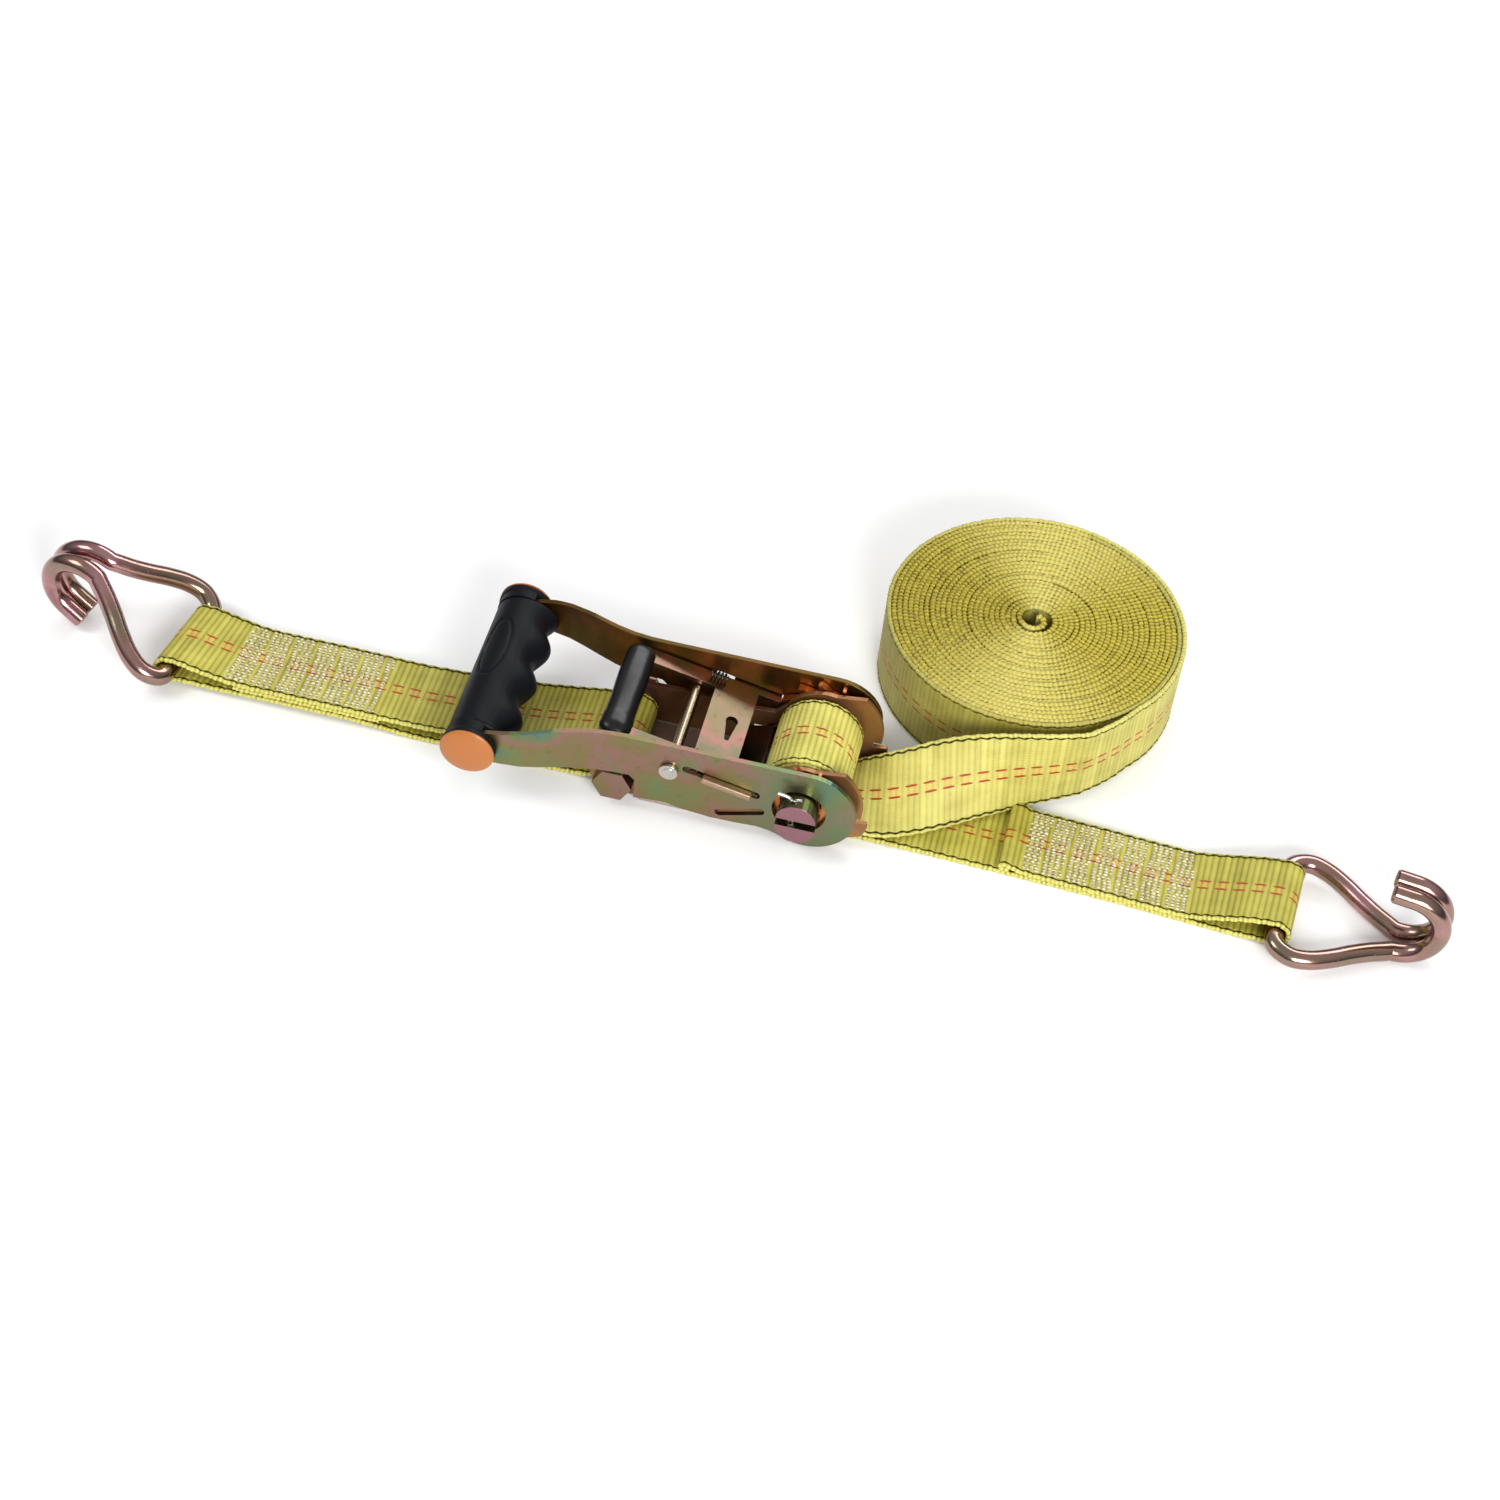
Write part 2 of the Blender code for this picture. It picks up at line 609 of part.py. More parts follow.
# ---------------------------------------------------------------- hooks
def hook_half():
    """Half of the bent wire, from the crossbar's middle to the tip.

    Points are (along, across, up from the leg plane).
    """
    lead = [(0, 0, 0), (0, 25.5, 0), (0.8, 30.0, 0), (5.0, HOOK_HALF - 2.2, 0),
            (12.5, HOOK_HALF, 0), (22.5, HOOK_HALF - 2.6, 0)]
    # taper towards the curl: along, share of the greatest half width
    taper = [(33, 0.76), (43, 0.56), (52.5, 0.39), (60, 0.28), (HOOK_REACH, HOOK_NECK)]
    lead += [(along, HOOK_HALF * share, 0) for along, share in taper]
    points = catmull(lead, 3)
    curl = arc(HOOK_REACH, HOOK_CURL_R, HOOK_CURL_R, -90, 90, 12)
    for i, (along, up) in enumerate(curl[1:], start=1):
        closing = max(0.0, 1 - i / 6)
        across = WIRE_APART + (HOOK_NECK * HOOK_HALF - WIRE_APART) * closing
        points.append((along, across, up))
    points += [(HOOK_REACH - back, WIRE_APART, 2 * HOOK_CURL_R) for back in (6.0, 12.0)]
    return points


def build_hook(name, bar, tilt, yaw, direction, curl):
    """direction is the way the hook points along X; curl is +1 to curl up, -1 down."""
    half = hook_half()
    whole = [(along, -across, up) for along, across, up in reversed(half)] + half[1:]
    points = []
    for along, across, up in whole:
        up *= curl
        out = direction * (along * math.cos(tilt) - up * math.sin(tilt))
        points.append((bar[0] + out * math.cos(yaw) - across * math.sin(yaw),
                       bar[1] + out * math.sin(yaw) + across * math.cos(yaw),
                       bar[2] + along * math.sin(tilt) + up * math.cos(tilt)))
    hook = wire(name, points, WIRE_R, HOOK, resolution=2)
    at_origin(hook, *bar)
    hook.data.shade_smooth()
    hook.data.set_sharp_from_angle(angle=math.radians(60))


# ---------------------------------------------------------------- straps
def left_sway(x):
    """The fixed-end strap runs a little to the far side, away from the bolt."""
    return LEFT_LOOP_Y * max(0.0, LEFT_SWAY_FROM - x) / (LEFT_SWAY_FROM - LEFT_BAR[0])


def left_lean(x, y):
    """The loop follows its crossbar, which is not quite square to the strap."""
    t = min(max((-250.0 - x) / 50.0, 0.0), 1.0)
    return -(y - left_sway(x)) * math.tan(LEFT_YAW) * t


def right_sway(x):
    """The hook-end strap drifts to the near side as it nears its hook."""
    return RIGHT_LOOP_Y * max(0.0, (x - HUB_X) / (RIGHT_BAR[0] - HUB_X)) ** 2.0


def right_lean(x, y):
    """The same as left_lean, for the right crossbar."""
    t = min(max((x - 262.0) / 60.0, 0.0), 1.0)
    return -(y - right_sway(x)) * math.tan(RIGHT_YAW) * t


def build_fixed_end_strap():
    """A closed band round the bolt and the left hook's crossbar."""
    bar_x, _, bar_z = LEFT_BAR
    # x, z of the outer face, z of the inner face
    top = [(-62, 24.8, 22.4), (-97, 18.0, 15.6), (-137, 13.2, 10.8), (-183, 10.6, 8.2),
           (-189, 11.8, 7.2), (-264, 11.8, 7.2), (-273, 12.2, 9.8), (bar_x + 17, 16.6, 14.2),
           (bar_x + 6, 20.4, 18.0)]
    bottom = [(bar_x + 10, 3.0, 5.4), (bar_x + 24, 1.0, 3.4), (bar_x + 42, 0.15, 2.5),
              (-90, 0.15, 2.5), (-68, 1.0, 3.4), (-52, 3.6, 6.0)]

    def face(column, bolt_r, bar_r):
        return (arc(*BOLT_AXIS, bolt_r, -90, 90, 12)
                + [(row[0], row[column]) for row in top]
                + arc(bar_x, bar_z, bar_r, 95, 265, 12)
                + [(row[0], row[column]) for row in bottom])

    loops = [face(1, BOLT_WRAP + WEB_T, LOOP_OUT), face(2, BOLT_WRAP, LOOP_IN)]
    strap = plate("fixed_end_strap", loops, -WEB_HALF, WEB_HALF, WEBBING)
    sway(strap, [LEFT_SWAY_FROM, -130.0, -190.0, -250.0, -275.0], left_sway, left_lean)


def build_hook_end_strap():
    """From under the mandrel to the right hook, folded back round its crossbar."""
    bar_x, _, bar_z = RIGHT_BAR
    outline = (
        [(HOOK_STRAP_START, 0.1)]
        + offset([(-34, 0.1), (-20, 0.7), (-10, 1.7)], bar_x)
        + arc(bar_x, bar_z, LOOP_OUT, -85, 85, 12)
        + offset([(-6, 19.2), (-17, 16.6), (-33, 11.2), (-46, 7.0), (-55, 5.2)], bar_x)
        + [(188, 5.2), (185.5, 4.0), (185.0, 2.3), (HOOK_STRAP_START, 2.3)]
    )
    eye = (
        offset([(-34, 2.6), (-20, 3.1), (-10, 4.1)], bar_x)
        + arc(bar_x, bar_z, LOOP_IN, -85, 85, 12)
        + offset([(-6, 16.8), (-17, 14.2), (-33, 8.8), (-44, 4.6), (-47, 3.4), (-44, 2.6)], bar_x)
    )
    strap = plate("hook_end_strap", [outline, eye], -WEB_HALF, WEB_HALF, WEBBING)
    knots = [HOOK_STRAP_START + i * (bar_x - HOOK_STRAP_START) / 8 for i in range(9)]
    knots.append(bar_x + 8)
    sway(strap, knots[1:-1] + [262.0], straightened(right_sway, knots), right_lean)


# The loose tail leaves the mandrel nearly flat, twists up on edge and meets the coil.
TAIL = [  # near edge x, y, z and the lean of the strap from flat, in degrees
    (86.0, -25.3, 5.6, 6), (98.0, -25.6, 4.2, 16), (112.0, -23.0, 4.2, 27),
    (128.0, -15.5, 4.2, 39), (146.0, -3.5, 4.3, 53), (163.0, 9.0, 4.4, 67),
    (181.0, 22.5, 4.0, 79), (197.0, 33.5, 3.4, 86), (212.0, 43.9, 2.6, 90),
]
TAIL_SKEW = 0.42                 # how far the width direction swings to -X in mid twist


def tail_sections():
    """Middle line and width direction of the tail, ending in an arc round the coil."""
    sections = []
    for x, y, z, lean in catmull(TAIL, 2):
        sine, cosine = math.sin(math.radians(lean)), math.cos(math.radians(lean))
        across = Vector((-TAIL_SKEW * sine * cosine, cosine, sine)).normalized()
        sections.append((Vector((x, y, z)) + across * WEB_HALF, across))

    end_x, end_y, end_z, _ = TAIL[-1]
    start_angle = math.atan2(end_y - COIL_Y, end_x - COIL_X)
    start_radius = math.hypot(end_y - COIL_Y, end_x - COIL_X)
    end_angle = math.radians(4)
    end_radius = COIL_R + 0.6 + WEB_T / 2
    steps = 10
    for i in range(1, steps + 1):
        t = i / steps
        angle = start_angle * (1 - t) + end_angle * t
        radius = start_radius + (end_radius - start_radius) * min(1.0, t / 0.35) ** 0.8
        z = end_z + (COIL_Z - end_z) * min(1.0, t / 0.5)
        middle = Vector((COIL_X + radius * math.cos(angle), COIL_Y + radius * math.sin(angle),
                         z + WEB_HALF))
        sections.append((middle, Vector((0, 0, 1))))
    return sections


def build_tail_strap():
    sections = tail_sections()
    bm = bmesh.new()
    rings = []
    for i, (middle, across) in enumerate(sections):
        following = sections[min(i + 1, len(sections) - 1)][0]
        forward = following - sections[max(i - 1, 0)][0]
        forward.normalize()
        normal = forward.cross(across).normalized()
        rings.append([
            bm.verts.new((middle + across * (width_sign * WEB_HALF)
                          + normal * (face_sign * WEB_T / 2)) * MM)
            for width_sign, face_sign in ((-1, -1), (1, -1), (1, 1), (-1, 1))])
    for ring, ahead in zip(rings, rings[1:]):
        for k in range(4):
            after = (k + 1) % 4
            bm.faces.new((ring[k], ring[after], ahead[after], ahead[k]))
    bm.faces.new(reversed(rings[0]))
    bm.faces.new(rings[-1])
    bmesh.ops.triangulate(bm, faces=bm.faces)
    bmesh.ops.recalc_face_normals(bm, faces=bm.faces)
    from_bmesh("tail_strap", bm, WEBBING)


def build_coil():
    """The wound tail, as a solid ring lying flat."""
    profile = [(COIL_EYE, COIL_H), (COIL_R, COIL_H), (COIL_R, 0), (COIL_EYE, 0)]
    coil = turned("webbing_coil", profile, WEBBING, steps=64)
    coil.location = metres(COIL_X, COIL_Y, COIL_Z)


# ---------------------------------------------------------------- joints
def joint(name, place, children, parent=None):
    """An empty on the joint's axis, with the pieces that move on it."""
    empty = bpy.data.objects.new(name, None)
    empty.empty_display_size = 0.01
    PARTS.objects.link(empty)
    empty.location = metres(*place)
    bpy.context.view_layer.update()
    for child in children:
        obj = bpy.data.objects[child]
        obj.parent = empty
        obj.matrix_parent_inverse = empty.matrix_world.inverted()
    if parent:
        empty.parent = parent
        empty.matrix_parent_inverse = parent.matrix_world.inverted()
    return empty


def build_joints():
    handle_pivot = joint("handle_pivot", HUB, [
        "handle_arm_near", "handle_arm_far", "handle_cross_rod", "handle_grip", "grip_core_rod",
        "end_cap_near", "end_cap_far", "drive_spring_near", "drive_spring_far"])
    joint("drive_pawl_slide", ray_point(DRIVE_ANGLE, 60), ["drive_pawl", "release_bar_cover"],
          handle_pivot)
    joint("mandrel_pivot", HUB, [
        "half_shaft_upper", "half_shaft_lower", "ratchet_wheel_near", "ratchet_wheel_far",
        "split_pin_near", "split_pin_far", "webbing_roll"])
    joint("lock_pawl_slide", ray_point(LOCK_ANGLE, 40), ["lock_pawl"])
    joint("fixed_hook_pivot", LEFT_BAR, ["fixed_end_hook"])
    joint("strap_hook_pivot", RIGHT_BAR, ["strap_end_hook"])


# ---------------------------------------------------------------- assembly
build_base()
build_webbing_bolt()
build_wheels_and_roll()
build_half_shafts()
build_split_pins()
build_arms()
build_handle_rods()
build_grip()
build_end_caps()
build_drive_pawl()
build_release_bar_cover()
build_lock_pawl()
build_springs()
build_hook("fixed_end_hook", LEFT_BAR, LEFT_TILT, LEFT_YAW, direction=-1, curl=-1)
build_hook("strap_end_hook", RIGHT_BAR, RIGHT_TILT, RIGHT_YAW, direction=1, curl=1)
build_fixed_end_strap()
build_hook_end_strap()
build_tail_strap()
build_coil()
build_joints()
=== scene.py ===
"""A ratchet tie down: ratchet and handle, two hooked straps and a coil of spare webbing.

It lies on the floor (Z up) along X: fixed end and its hook at -X, hub near x = 63, long strap's
hook at +X. The webbing's width runs along Y, and "near" means the -Y side, where the camera
stands. The tail leaves the hub and winds into a coil standing on edge at +Y.
Drawing units are millimetres, except in materials, lights and the floor, which use metres.
"""

import math

import bpy
import numpy as np
from mathutils import Matrix, Vector


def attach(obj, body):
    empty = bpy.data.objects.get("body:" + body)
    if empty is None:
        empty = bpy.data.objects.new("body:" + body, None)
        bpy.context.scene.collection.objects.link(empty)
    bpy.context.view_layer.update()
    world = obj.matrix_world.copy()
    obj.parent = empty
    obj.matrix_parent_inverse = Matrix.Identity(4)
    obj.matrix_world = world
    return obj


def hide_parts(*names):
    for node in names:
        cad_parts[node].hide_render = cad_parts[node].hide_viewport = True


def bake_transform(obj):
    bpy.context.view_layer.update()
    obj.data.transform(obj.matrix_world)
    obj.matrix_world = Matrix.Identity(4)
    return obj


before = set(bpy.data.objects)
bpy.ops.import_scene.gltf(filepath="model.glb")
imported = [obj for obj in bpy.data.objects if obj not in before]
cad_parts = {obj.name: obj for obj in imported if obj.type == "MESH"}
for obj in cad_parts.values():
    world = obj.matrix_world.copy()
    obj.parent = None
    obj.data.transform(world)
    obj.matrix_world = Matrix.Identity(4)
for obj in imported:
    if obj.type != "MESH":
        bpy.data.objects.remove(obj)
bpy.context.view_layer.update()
MM = 0.001
SIDES = (("near", -1), ("far", 1))

# ------------------------------------------------------------------ shared sizes
WEB_HALF = 25.4                 # half the webbing's width
WEB_T = 2.3                     # its thickness
RIB = 3.45                      # pitch of its cross ribs
EDGE_BEAD = RIB * 0.75          # pitch of the lumps along its edges
COIL_BEAD = 2.85                # the same on the wound coil

HUB = np.array([63.0, 0.0, 28.5])
BOLT_X, BOLT_Z = -44.0, 16.0
DRIVE = math.radians(168)       # direction of the drive pawl seen from the hub
LOCK = math.radians(198)        # direction of the lock pawl
GRIP_X, GRIP_Z = -121.5, 41.0

WIRE_R = 5.5                    # hook wire
CURL_R = 21.2                   # radius of the hook's curl
REACH = 63.8                    # from the hook's bar to the centre of the curl
HOOK_HALF = 36.2                # half the hook's width
LEFT_BAR = (-308.0, -0.4, 11.2)
RIGHT_BAR = (335.6, -12.8, 11.2)
LEFT_TILT, RIGHT_TILT = math.radians(35.0), math.radians(-4.6)
LEFT_YAW, RIGHT_YAW = math.radians(-9.5), math.radians(-4.0)


def linear(colour):
    """An 8-bit display colour as linear values."""
    shares = [c / 255 for c in colour]
    return (*(c / 12.92 if c <= 0.04045 else ((c + 0.055) / 1.055) ** 2.4 for c in shares), 1.0)


# ------------------------------------------------------------------ node helpers
def fill_ramp(ramp, stops):
    while len(ramp.elements) < len(stops):
        ramp.elements.new(0.5)
    for element, (position, colour) in zip(ramp.elements, stops):
        element.position = position
        element.color = colour


class Nodes:
    """The node tree of a material or world, written as expressions."""

    def __init__(self, owner, output="ShaderNodeOutputMaterial"):
        self.owner = owner
        owner.use_nodes = True
        self.tree = owner.node_tree
        self.tree.nodes.clear()
        self.out = self.tree.nodes.new(output)

    def put(self, socket, value):
        if isinstance(value, bpy.types.NodeSocket):
            self.tree.links.new(value, socket)
        else:
            socket.default_value = value

    def add(self, kind, inputs=None, **props):
        node = self.tree.nodes.new(kind)
        for key, value in props.items():
            setattr(node, key, value)
        for key, value in (inputs or {}).items():
            self.put(node.inputs[key], value)
        return node

    def math(self, op, *values):
        return self.add("ShaderNodeMath", dict(enumerate(values)), operation=op).outputs[0]

    def times(self, a, b):
        return self.math("MULTIPLY", a, b)

    def plus(self, a, b):
        return self.math("ADD", a, b)

    def minus(self, a, b):
        return self.math("SUBTRACT", a, b)

    def scaled(self, x, by, add):
        return self.math("MULTIPLY_ADD", x, by, add)

    def wave(self, x, pitch, phase=0.0):
        """1 to 0 and back over each pitch."""
        turn = self.scaled(x, by=2 * math.pi / pitch, add=phase)
        return self.scaled(self.math("COSINE", turn), by=0.5, add=0.5)

    def smooth(self, x, zero_at, one_at):
        inputs = {0: x, 1: zero_at, 2: one_at}
        return self.add("ShaderNodeMapRange", inputs, interpolation_type="SMOOTHSTEP").outputs[0]

    def mix(self, share, a, b):
        return self.add("ShaderNodeMix", {0: share, 6: a, 7: b}, data_type="RGBA").outputs[2]

    def noise(self, vector, scale, detail=2.0, rough=0.5, colour=False):
        inputs = {"Vector": vector, "Scale": scale, "Detail": detail, "Roughness": rough}
        return self.add("ShaderNodeTexNoise", inputs).outputs[1 if colour else 0]

    def ramp(self, x, stops):
        node = self.add("ShaderNodeValToRGB", {0: x})
        fill_ramp(node.color_ramp, stops)
        return node.outputs[0]

    def where(self):
        return self.add("ShaderNodeTexCoord").outputs["Object"]

    def attribute(self, name):
        node = self.add("ShaderNodeAttribute", attribute_type="GEOMETRY", attribute_name=name)
        return node.outputs["Vector"]

    def split(self, vector):
        return self.add("ShaderNodeSeparateXYZ", {0: vector}).outputs

    def join(self, x, y):
        return self.add("ShaderNodeCombineXYZ", {"X": x, "Y": y}).outputs[0]

    def mapping(self, vector, **inputs):
        return self.add("ShaderNodeMapping", {"Vector": vector, **inputs}).outputs[0]

    def vector_math(self, op, *values):
        return self.add("ShaderNodeVectorMath", dict(enumerate(values)), operation=op).outputs

    def bump(self, height, distance, strength):
        inputs = {"Height": height, "Distance": distance, "Strength": strength}
        return self.add("ShaderNodeBump", inputs).outputs[0]

    def finish(self, **inputs):
        inputs = {key.replace("_", " "): value for key, value in inputs.items()}
        shader = self.add("ShaderNodeBsdfPrincipled", inputs)
        self.tree.links.new(shader.outputs[0], self.out.inputs[0])
        return self.owner


# ------------------------------------------------------------------ materials
def webbing_material(name, light, dark, ribs, pale=(210, 203, 112), edge_pale=(0.75, 0.08),
                     bead=EDGE_BEAD, painted_sheen=0.0, painted_coil_shade=None):
    """Woven webbing, drawn from its attributes: "web" (along, across, in mm) and "run" (tangent).

    ribs is the ribs' share of the tone (their dark troughs partly painted shade), edge_pale_glint
    how strongly the edges take the pale colour (on the lumps, where it is partly a painted
    highlight, between them), painted_sheen how far webbing running along X lightens as a painted
    sheen, and painted_coil_shade where and how far it darkens as painted shade.
    """
    n = Nodes(bpy.data.materials.new(name))
    along, across = n.split(n.attribute("web"))[:2]
    from_middle = n.math("ABSOLUTE", across)
    run = n.attribute("run")

    # uneven tone: broad drift, a tone for each rib, and fine lengthwise fibres
    drift = n.noise(n.join(n.times(along, 0.045), n.times(across, 0.09)), scale=1.0, detail=3.0)
    rib_number = n.math("ROUND", n.times(along, 1 / RIB))
    each = n.noise(n.join(n.times(rib_number, 3.7), n.times(across, 0.012)), scale=1.0, detail=0.0)
    fibre = n.noise(n.join(n.times(along, 0.5), n.times(across, 4.5)), scale=1.0)

    # the warp floats run lengthwise and step sideways from rib to rib, as a fine chevron
    rib = n.wave(along, RIB)
    zigzag = n.math("PINGPONG", along, RIB / 2)
    warp = n.wave(n.plus(across, n.times(zigzag, 0.32)), pitch=1.15)
    tick = n.wave(along, RIB / 4, phase=0.8)
    weave = n.times(warp, n.scaled(tick, by=0.55, add=0.45))

    # the dark line in each rib's trough is partly the weave's own tone and partly painted shade
    # where the ribbed surface dips
    tone = n.scaled(n.math("POWER", rib, 0.45), by=ribs, add=0.56 - ribs)
    tone = n.plus(tone, n.times(weave, 0.26))
    for part, by, add in ((drift, 0.5, -0.22), (each, 0.5, -0.25), (fibre, 0.36, -0.18)):
        tone = n.plus(tone, n.scaled(part, by=by, add=add))
    colour = n.mix(n.smooth(tone, zero_at=0.0, one_at=1.0), linear(dark), linear(light))

    # pale lumps along each edge: the selvage's own paler loops, lightest on each lump's crest as a
    # painted highlight
    edge = n.smooth(from_middle, zero_at=23.8, one_at=24.6)
    lump_glint = n.times(n.wave(along, bead, phase=1.2), n.scaled(fibre, by=1.2, add=0.4))
    lump_glint = n.scaled(lump_glint, by=edge_pale[0], add=edge_pale[1])
    colour = n.mix(n.times(edge, lump_glint), colour, linear(pale))

    # dark tracer just inside each edge, wobbling from rib to rib
    wobble = n.times(n.math("SINE", n.times(along, 2 * math.pi / (2 * RIB))), 0.34)
    gap = n.math("ABSOLUTE", n.minus(from_middle, n.plus(wobble, 23.15)))
    tracer = n.times(n.smooth(gap, zero_at=0.82, one_at=0.46),
                     n.scaled(n.wave(along, RIB, phase=2.4), by=0.12, add=0.88))
    colour = n.mix(tracer, colour, linear((36, 40, 2)))

    # two dashed red tracers along the middle: lens-shaped dashes, one to every three ribs
    skewed = n.plus(along, n.times(n.math("SIGN", across), 0.45))
    phase = n.math("FRACT", n.times(skewed, 1 / (3 * RIB)))
    dash_half = 0.37
    from_dash = n.times(n.math("ABSOLUTE", n.minus(phase, dash_half)), 1 / dash_half)
    swell = n.math("MAXIMUM", n.minus(1.0, n.times(from_dash, from_dash)), 0.0)
    swell = n.math("POWER", swell, 0.5)
    on = n.smooth(from_dash, zero_at=1.0, one_at=0.8)
    red_line = n.scaled(n.wave(along, RIB), by=0.15, add=2.55)
    gap = n.math("ABSOLUTE", n.minus(from_middle, red_line))
    gap = n.minus(gap, n.times(swell, 0.60))
    red = n.times(n.smooth(gap, zero_at=0.22, one_at=-0.06), on)
    colour = n.mix(n.times(red, 0.97), colour, linear((152, 40, 6)))
    halo = n.times(n.smooth(from_middle, zero_at=2.7, one_at=1.5), on)
    colour = n.mix(n.times(halo, 0.2), colour, linear((230, 158, 82)))

    # painted sheen: webbing that runs along X, at the coil's front and back, is lightened towards a
    # pale yellow, standing for the light its fibres catch there
    if painted_sheen:
        facing = n.math("POWER", n.math("ABSOLUTE", n.split(run)[0]), 3.5)
        colour = n.mix(n.times(facing, painted_sheen), colour, linear((236, 226, 138)))
    # painted shade: along the wound end of the tail the webbing darkens towards the coil's shaded
    # tone
    if painted_coil_shade:
        reach = n.smooth(along, zero_at=painted_coil_shade["start"], one_at=painted_coil_shade["end"])
        colour = n.mix(n.times(reach, painted_coil_shade["share"]), colour, linear(painted_coil_shade["tone"]))

    height = n.plus(n.times(weave, 0.55), n.times(fibre, 0.5))
    height = n.minus(height, n.times(tracer, 0.5))
    return n.finish(
        Base_Color=colour, Roughness=n.scaled(fibre, by=0.2, add=0.42),
        Normal=n.bump(height, distance=0.00022, strength=0.8),
        Specular_IOR_Level=n.scaled(tracer, by=-0.34, add=0.42), Anisotropic=0.85, Tangent=run,
        Sheen_Weight=0.05, Sheen_Roughness=0.4, Sheen_Tint=linear((250, 240, 170)))


def thread_material():
    n = Nodes(bpy.data.materials.new("stitching_thread"))
    place = n.where()
    stops = ((0.3, (160, 150, 128)), (0.50, (200, 191, 168)), (0.68, (232, 227, 212)))
    colour = n.ramp(n.noise(place, scale=420.0), [(at, linear(c)) for at, c in stops])
    twist = n.add("ShaderNodeTexWave", {"Vector": place, "Scale": 900.0, "Distortion": 1.5},
                  bands_direction="DIAGONAL").outputs[1]
    return n.finish(Base_Color=colour, Roughness=0.5, Sheen_Weight=0.3, Specular_IOR_Level=0.4,
                    Normal=n.bump(twist, distance=0.0001, strength=0.6))


def plated(name, colours, scale, rough, seed, metallic=1.0, grain=0.00006,
           near=None, beyond=None, below=None, top=None):
    """Plated steel: broad drifting interference colours, fine drawn grain, small spots.

    The last four tint it near an axis along Y, beyond a distance either side of y = 0, below a
    height, and, as painted shade, where it faces up.
    """
    n = Nodes(bpy.data.materials.new(name))
    place = n.mapping(n.where(), Location=(seed, seed * 0.7, seed * 0.3))
    warp = n.noise(place, scale=scale * 0.6, colour=True)
    warped = n.add("ShaderNodeMix", {0: 0.035, 4: place, 5: warp}, data_type="VECTOR").outputs[1]
    drift = n.noise(warped, scale=scale, detail=3.0, rough=0.45)
    first, spread = 0.28, 0.46      # where the colours lie along the drift
    colour = n.ramp(drift, [(first + spread * i / (len(colours) - 1), linear(c))
                            for i, c in enumerate(colours)])
    if near:
        gap = n.vector_math("SUBTRACT", n.where(), near["centre"])[0]
        gap = n.vector_math("MULTIPLY", gap, (1.0, 0.0, 1.0))[0]
        gap = n.vector_math("LENGTH", gap)[1]
        share = n.times(n.smooth(gap, zero_at=near["none"], one_at=near["full"]), 0.55)
        colour = n.mix(share, colour, linear(near["tone"]))
    if beyond:
        edge, tone = beyond
        side = n.math("ABSOLUTE", n.split(n.where())[1])
        share = n.smooth(side, zero_at=edge - 0.0001, one_at=edge + 0.0001)
        colour = n.mix(share, colour, linear(tone))
    # painted shade: faces pointing up take the top tone, standing in for the bright light they
    # would reflect
    if top:
        up = n.split(n.add("ShaderNodeNewGeometry").outputs["Normal"])[2]
        share = n.times(n.smooth(up, zero_at=0.4, one_at=0.9), 0.75)
        colour = n.mix(share, colour, linear(top))
    if below:
        edge, tone = below
        height = n.split(n.where())[2]
        share = n.times(n.smooth(height, zero_at=edge + 0.0002, one_at=edge - 0.0002), 0.8)
        colour = n.mix(share, colour, linear(tone))
    facing = n.add("ShaderNodeLayerWeight", {"Blend": 0.35}).outputs["Facing"]
    colour = n.mix(n.times(facing, 0.35), colour, linear(colours[-1]))
    spots = n.noise(place, scale=240.0, detail=4.0, rough=0.65)
    spots = n.smooth(spots, zero_at=0.56, one_at=0.74)
    colour = n.mix(n.times(spots, 0.22), colour, linear((84, 62, 42)))
    fine = n.noise(place, scale=1500.0)
    drawn = n.noise(n.mapping(place, Scale=(60.0, 1500.0, 900.0)), scale=1.0)
    height = n.plus(n.times(fine, 0.5), n.times(drawn, 0.35))
    roughness = n.plus(n.scaled(drift, by=rough[1] - rough[0], add=rough[0]), n.times(spots, 0.12))
    return n.finish(Base_Color=colour, Metallic=metallic, Roughness=roughness,
                    Normal=n.bump(height, distance=grain, strength=0.7))


def moulded(name, colour, tint, rough, spec, texture, scale, coat=0.0):
    """Plastic or coating, drifting from colour towards tint, with a fine texture that deep."""
    n = Nodes(bpy.data.materials.new(name))
    place = n.where()
    big = n.noise(place, scale=30.0)
    fine = n.noise(place, scale=scale, detail=3.0, rough=0.6)
    roughness = n.plus(n.scaled(fine, by=0.14, add=rough - 0.07),
                       n.scaled(big, by=0.1, add=-0.05))
    return n.finish(Base_Color=n.mix(n.times(big, 0.5), linear(colour), linear(tint)),
                    Roughness=roughness, Specular_IOR_Level=spec, Coat_Weight=coat,
                    Coat_Roughness=0.25, Normal=n.bump(fine, distance=texture, strength=0.6))


WEB = webbing_material("webbing_weave", light=(197, 189, 86), dark=(122, 112, 20), ribs=0.42)
WEB_ROLL = webbing_material("webbing_weave_roll", light=(222, 214, 112), dark=(146, 136, 38),
                            ribs=0.40)
# from 310 mm along, the tail darkens as painted shade, to meet the coil's shaded copy
WEB_TAIL = webbing_material(
    "webbing_weave_tail", light=(208, 200, 110), dark=(134, 122, 32), ribs=0.22,
    painted_coil_shade=dict(start=310.0, end=500.0, share=0.42, tone=(112, 98, 14)))
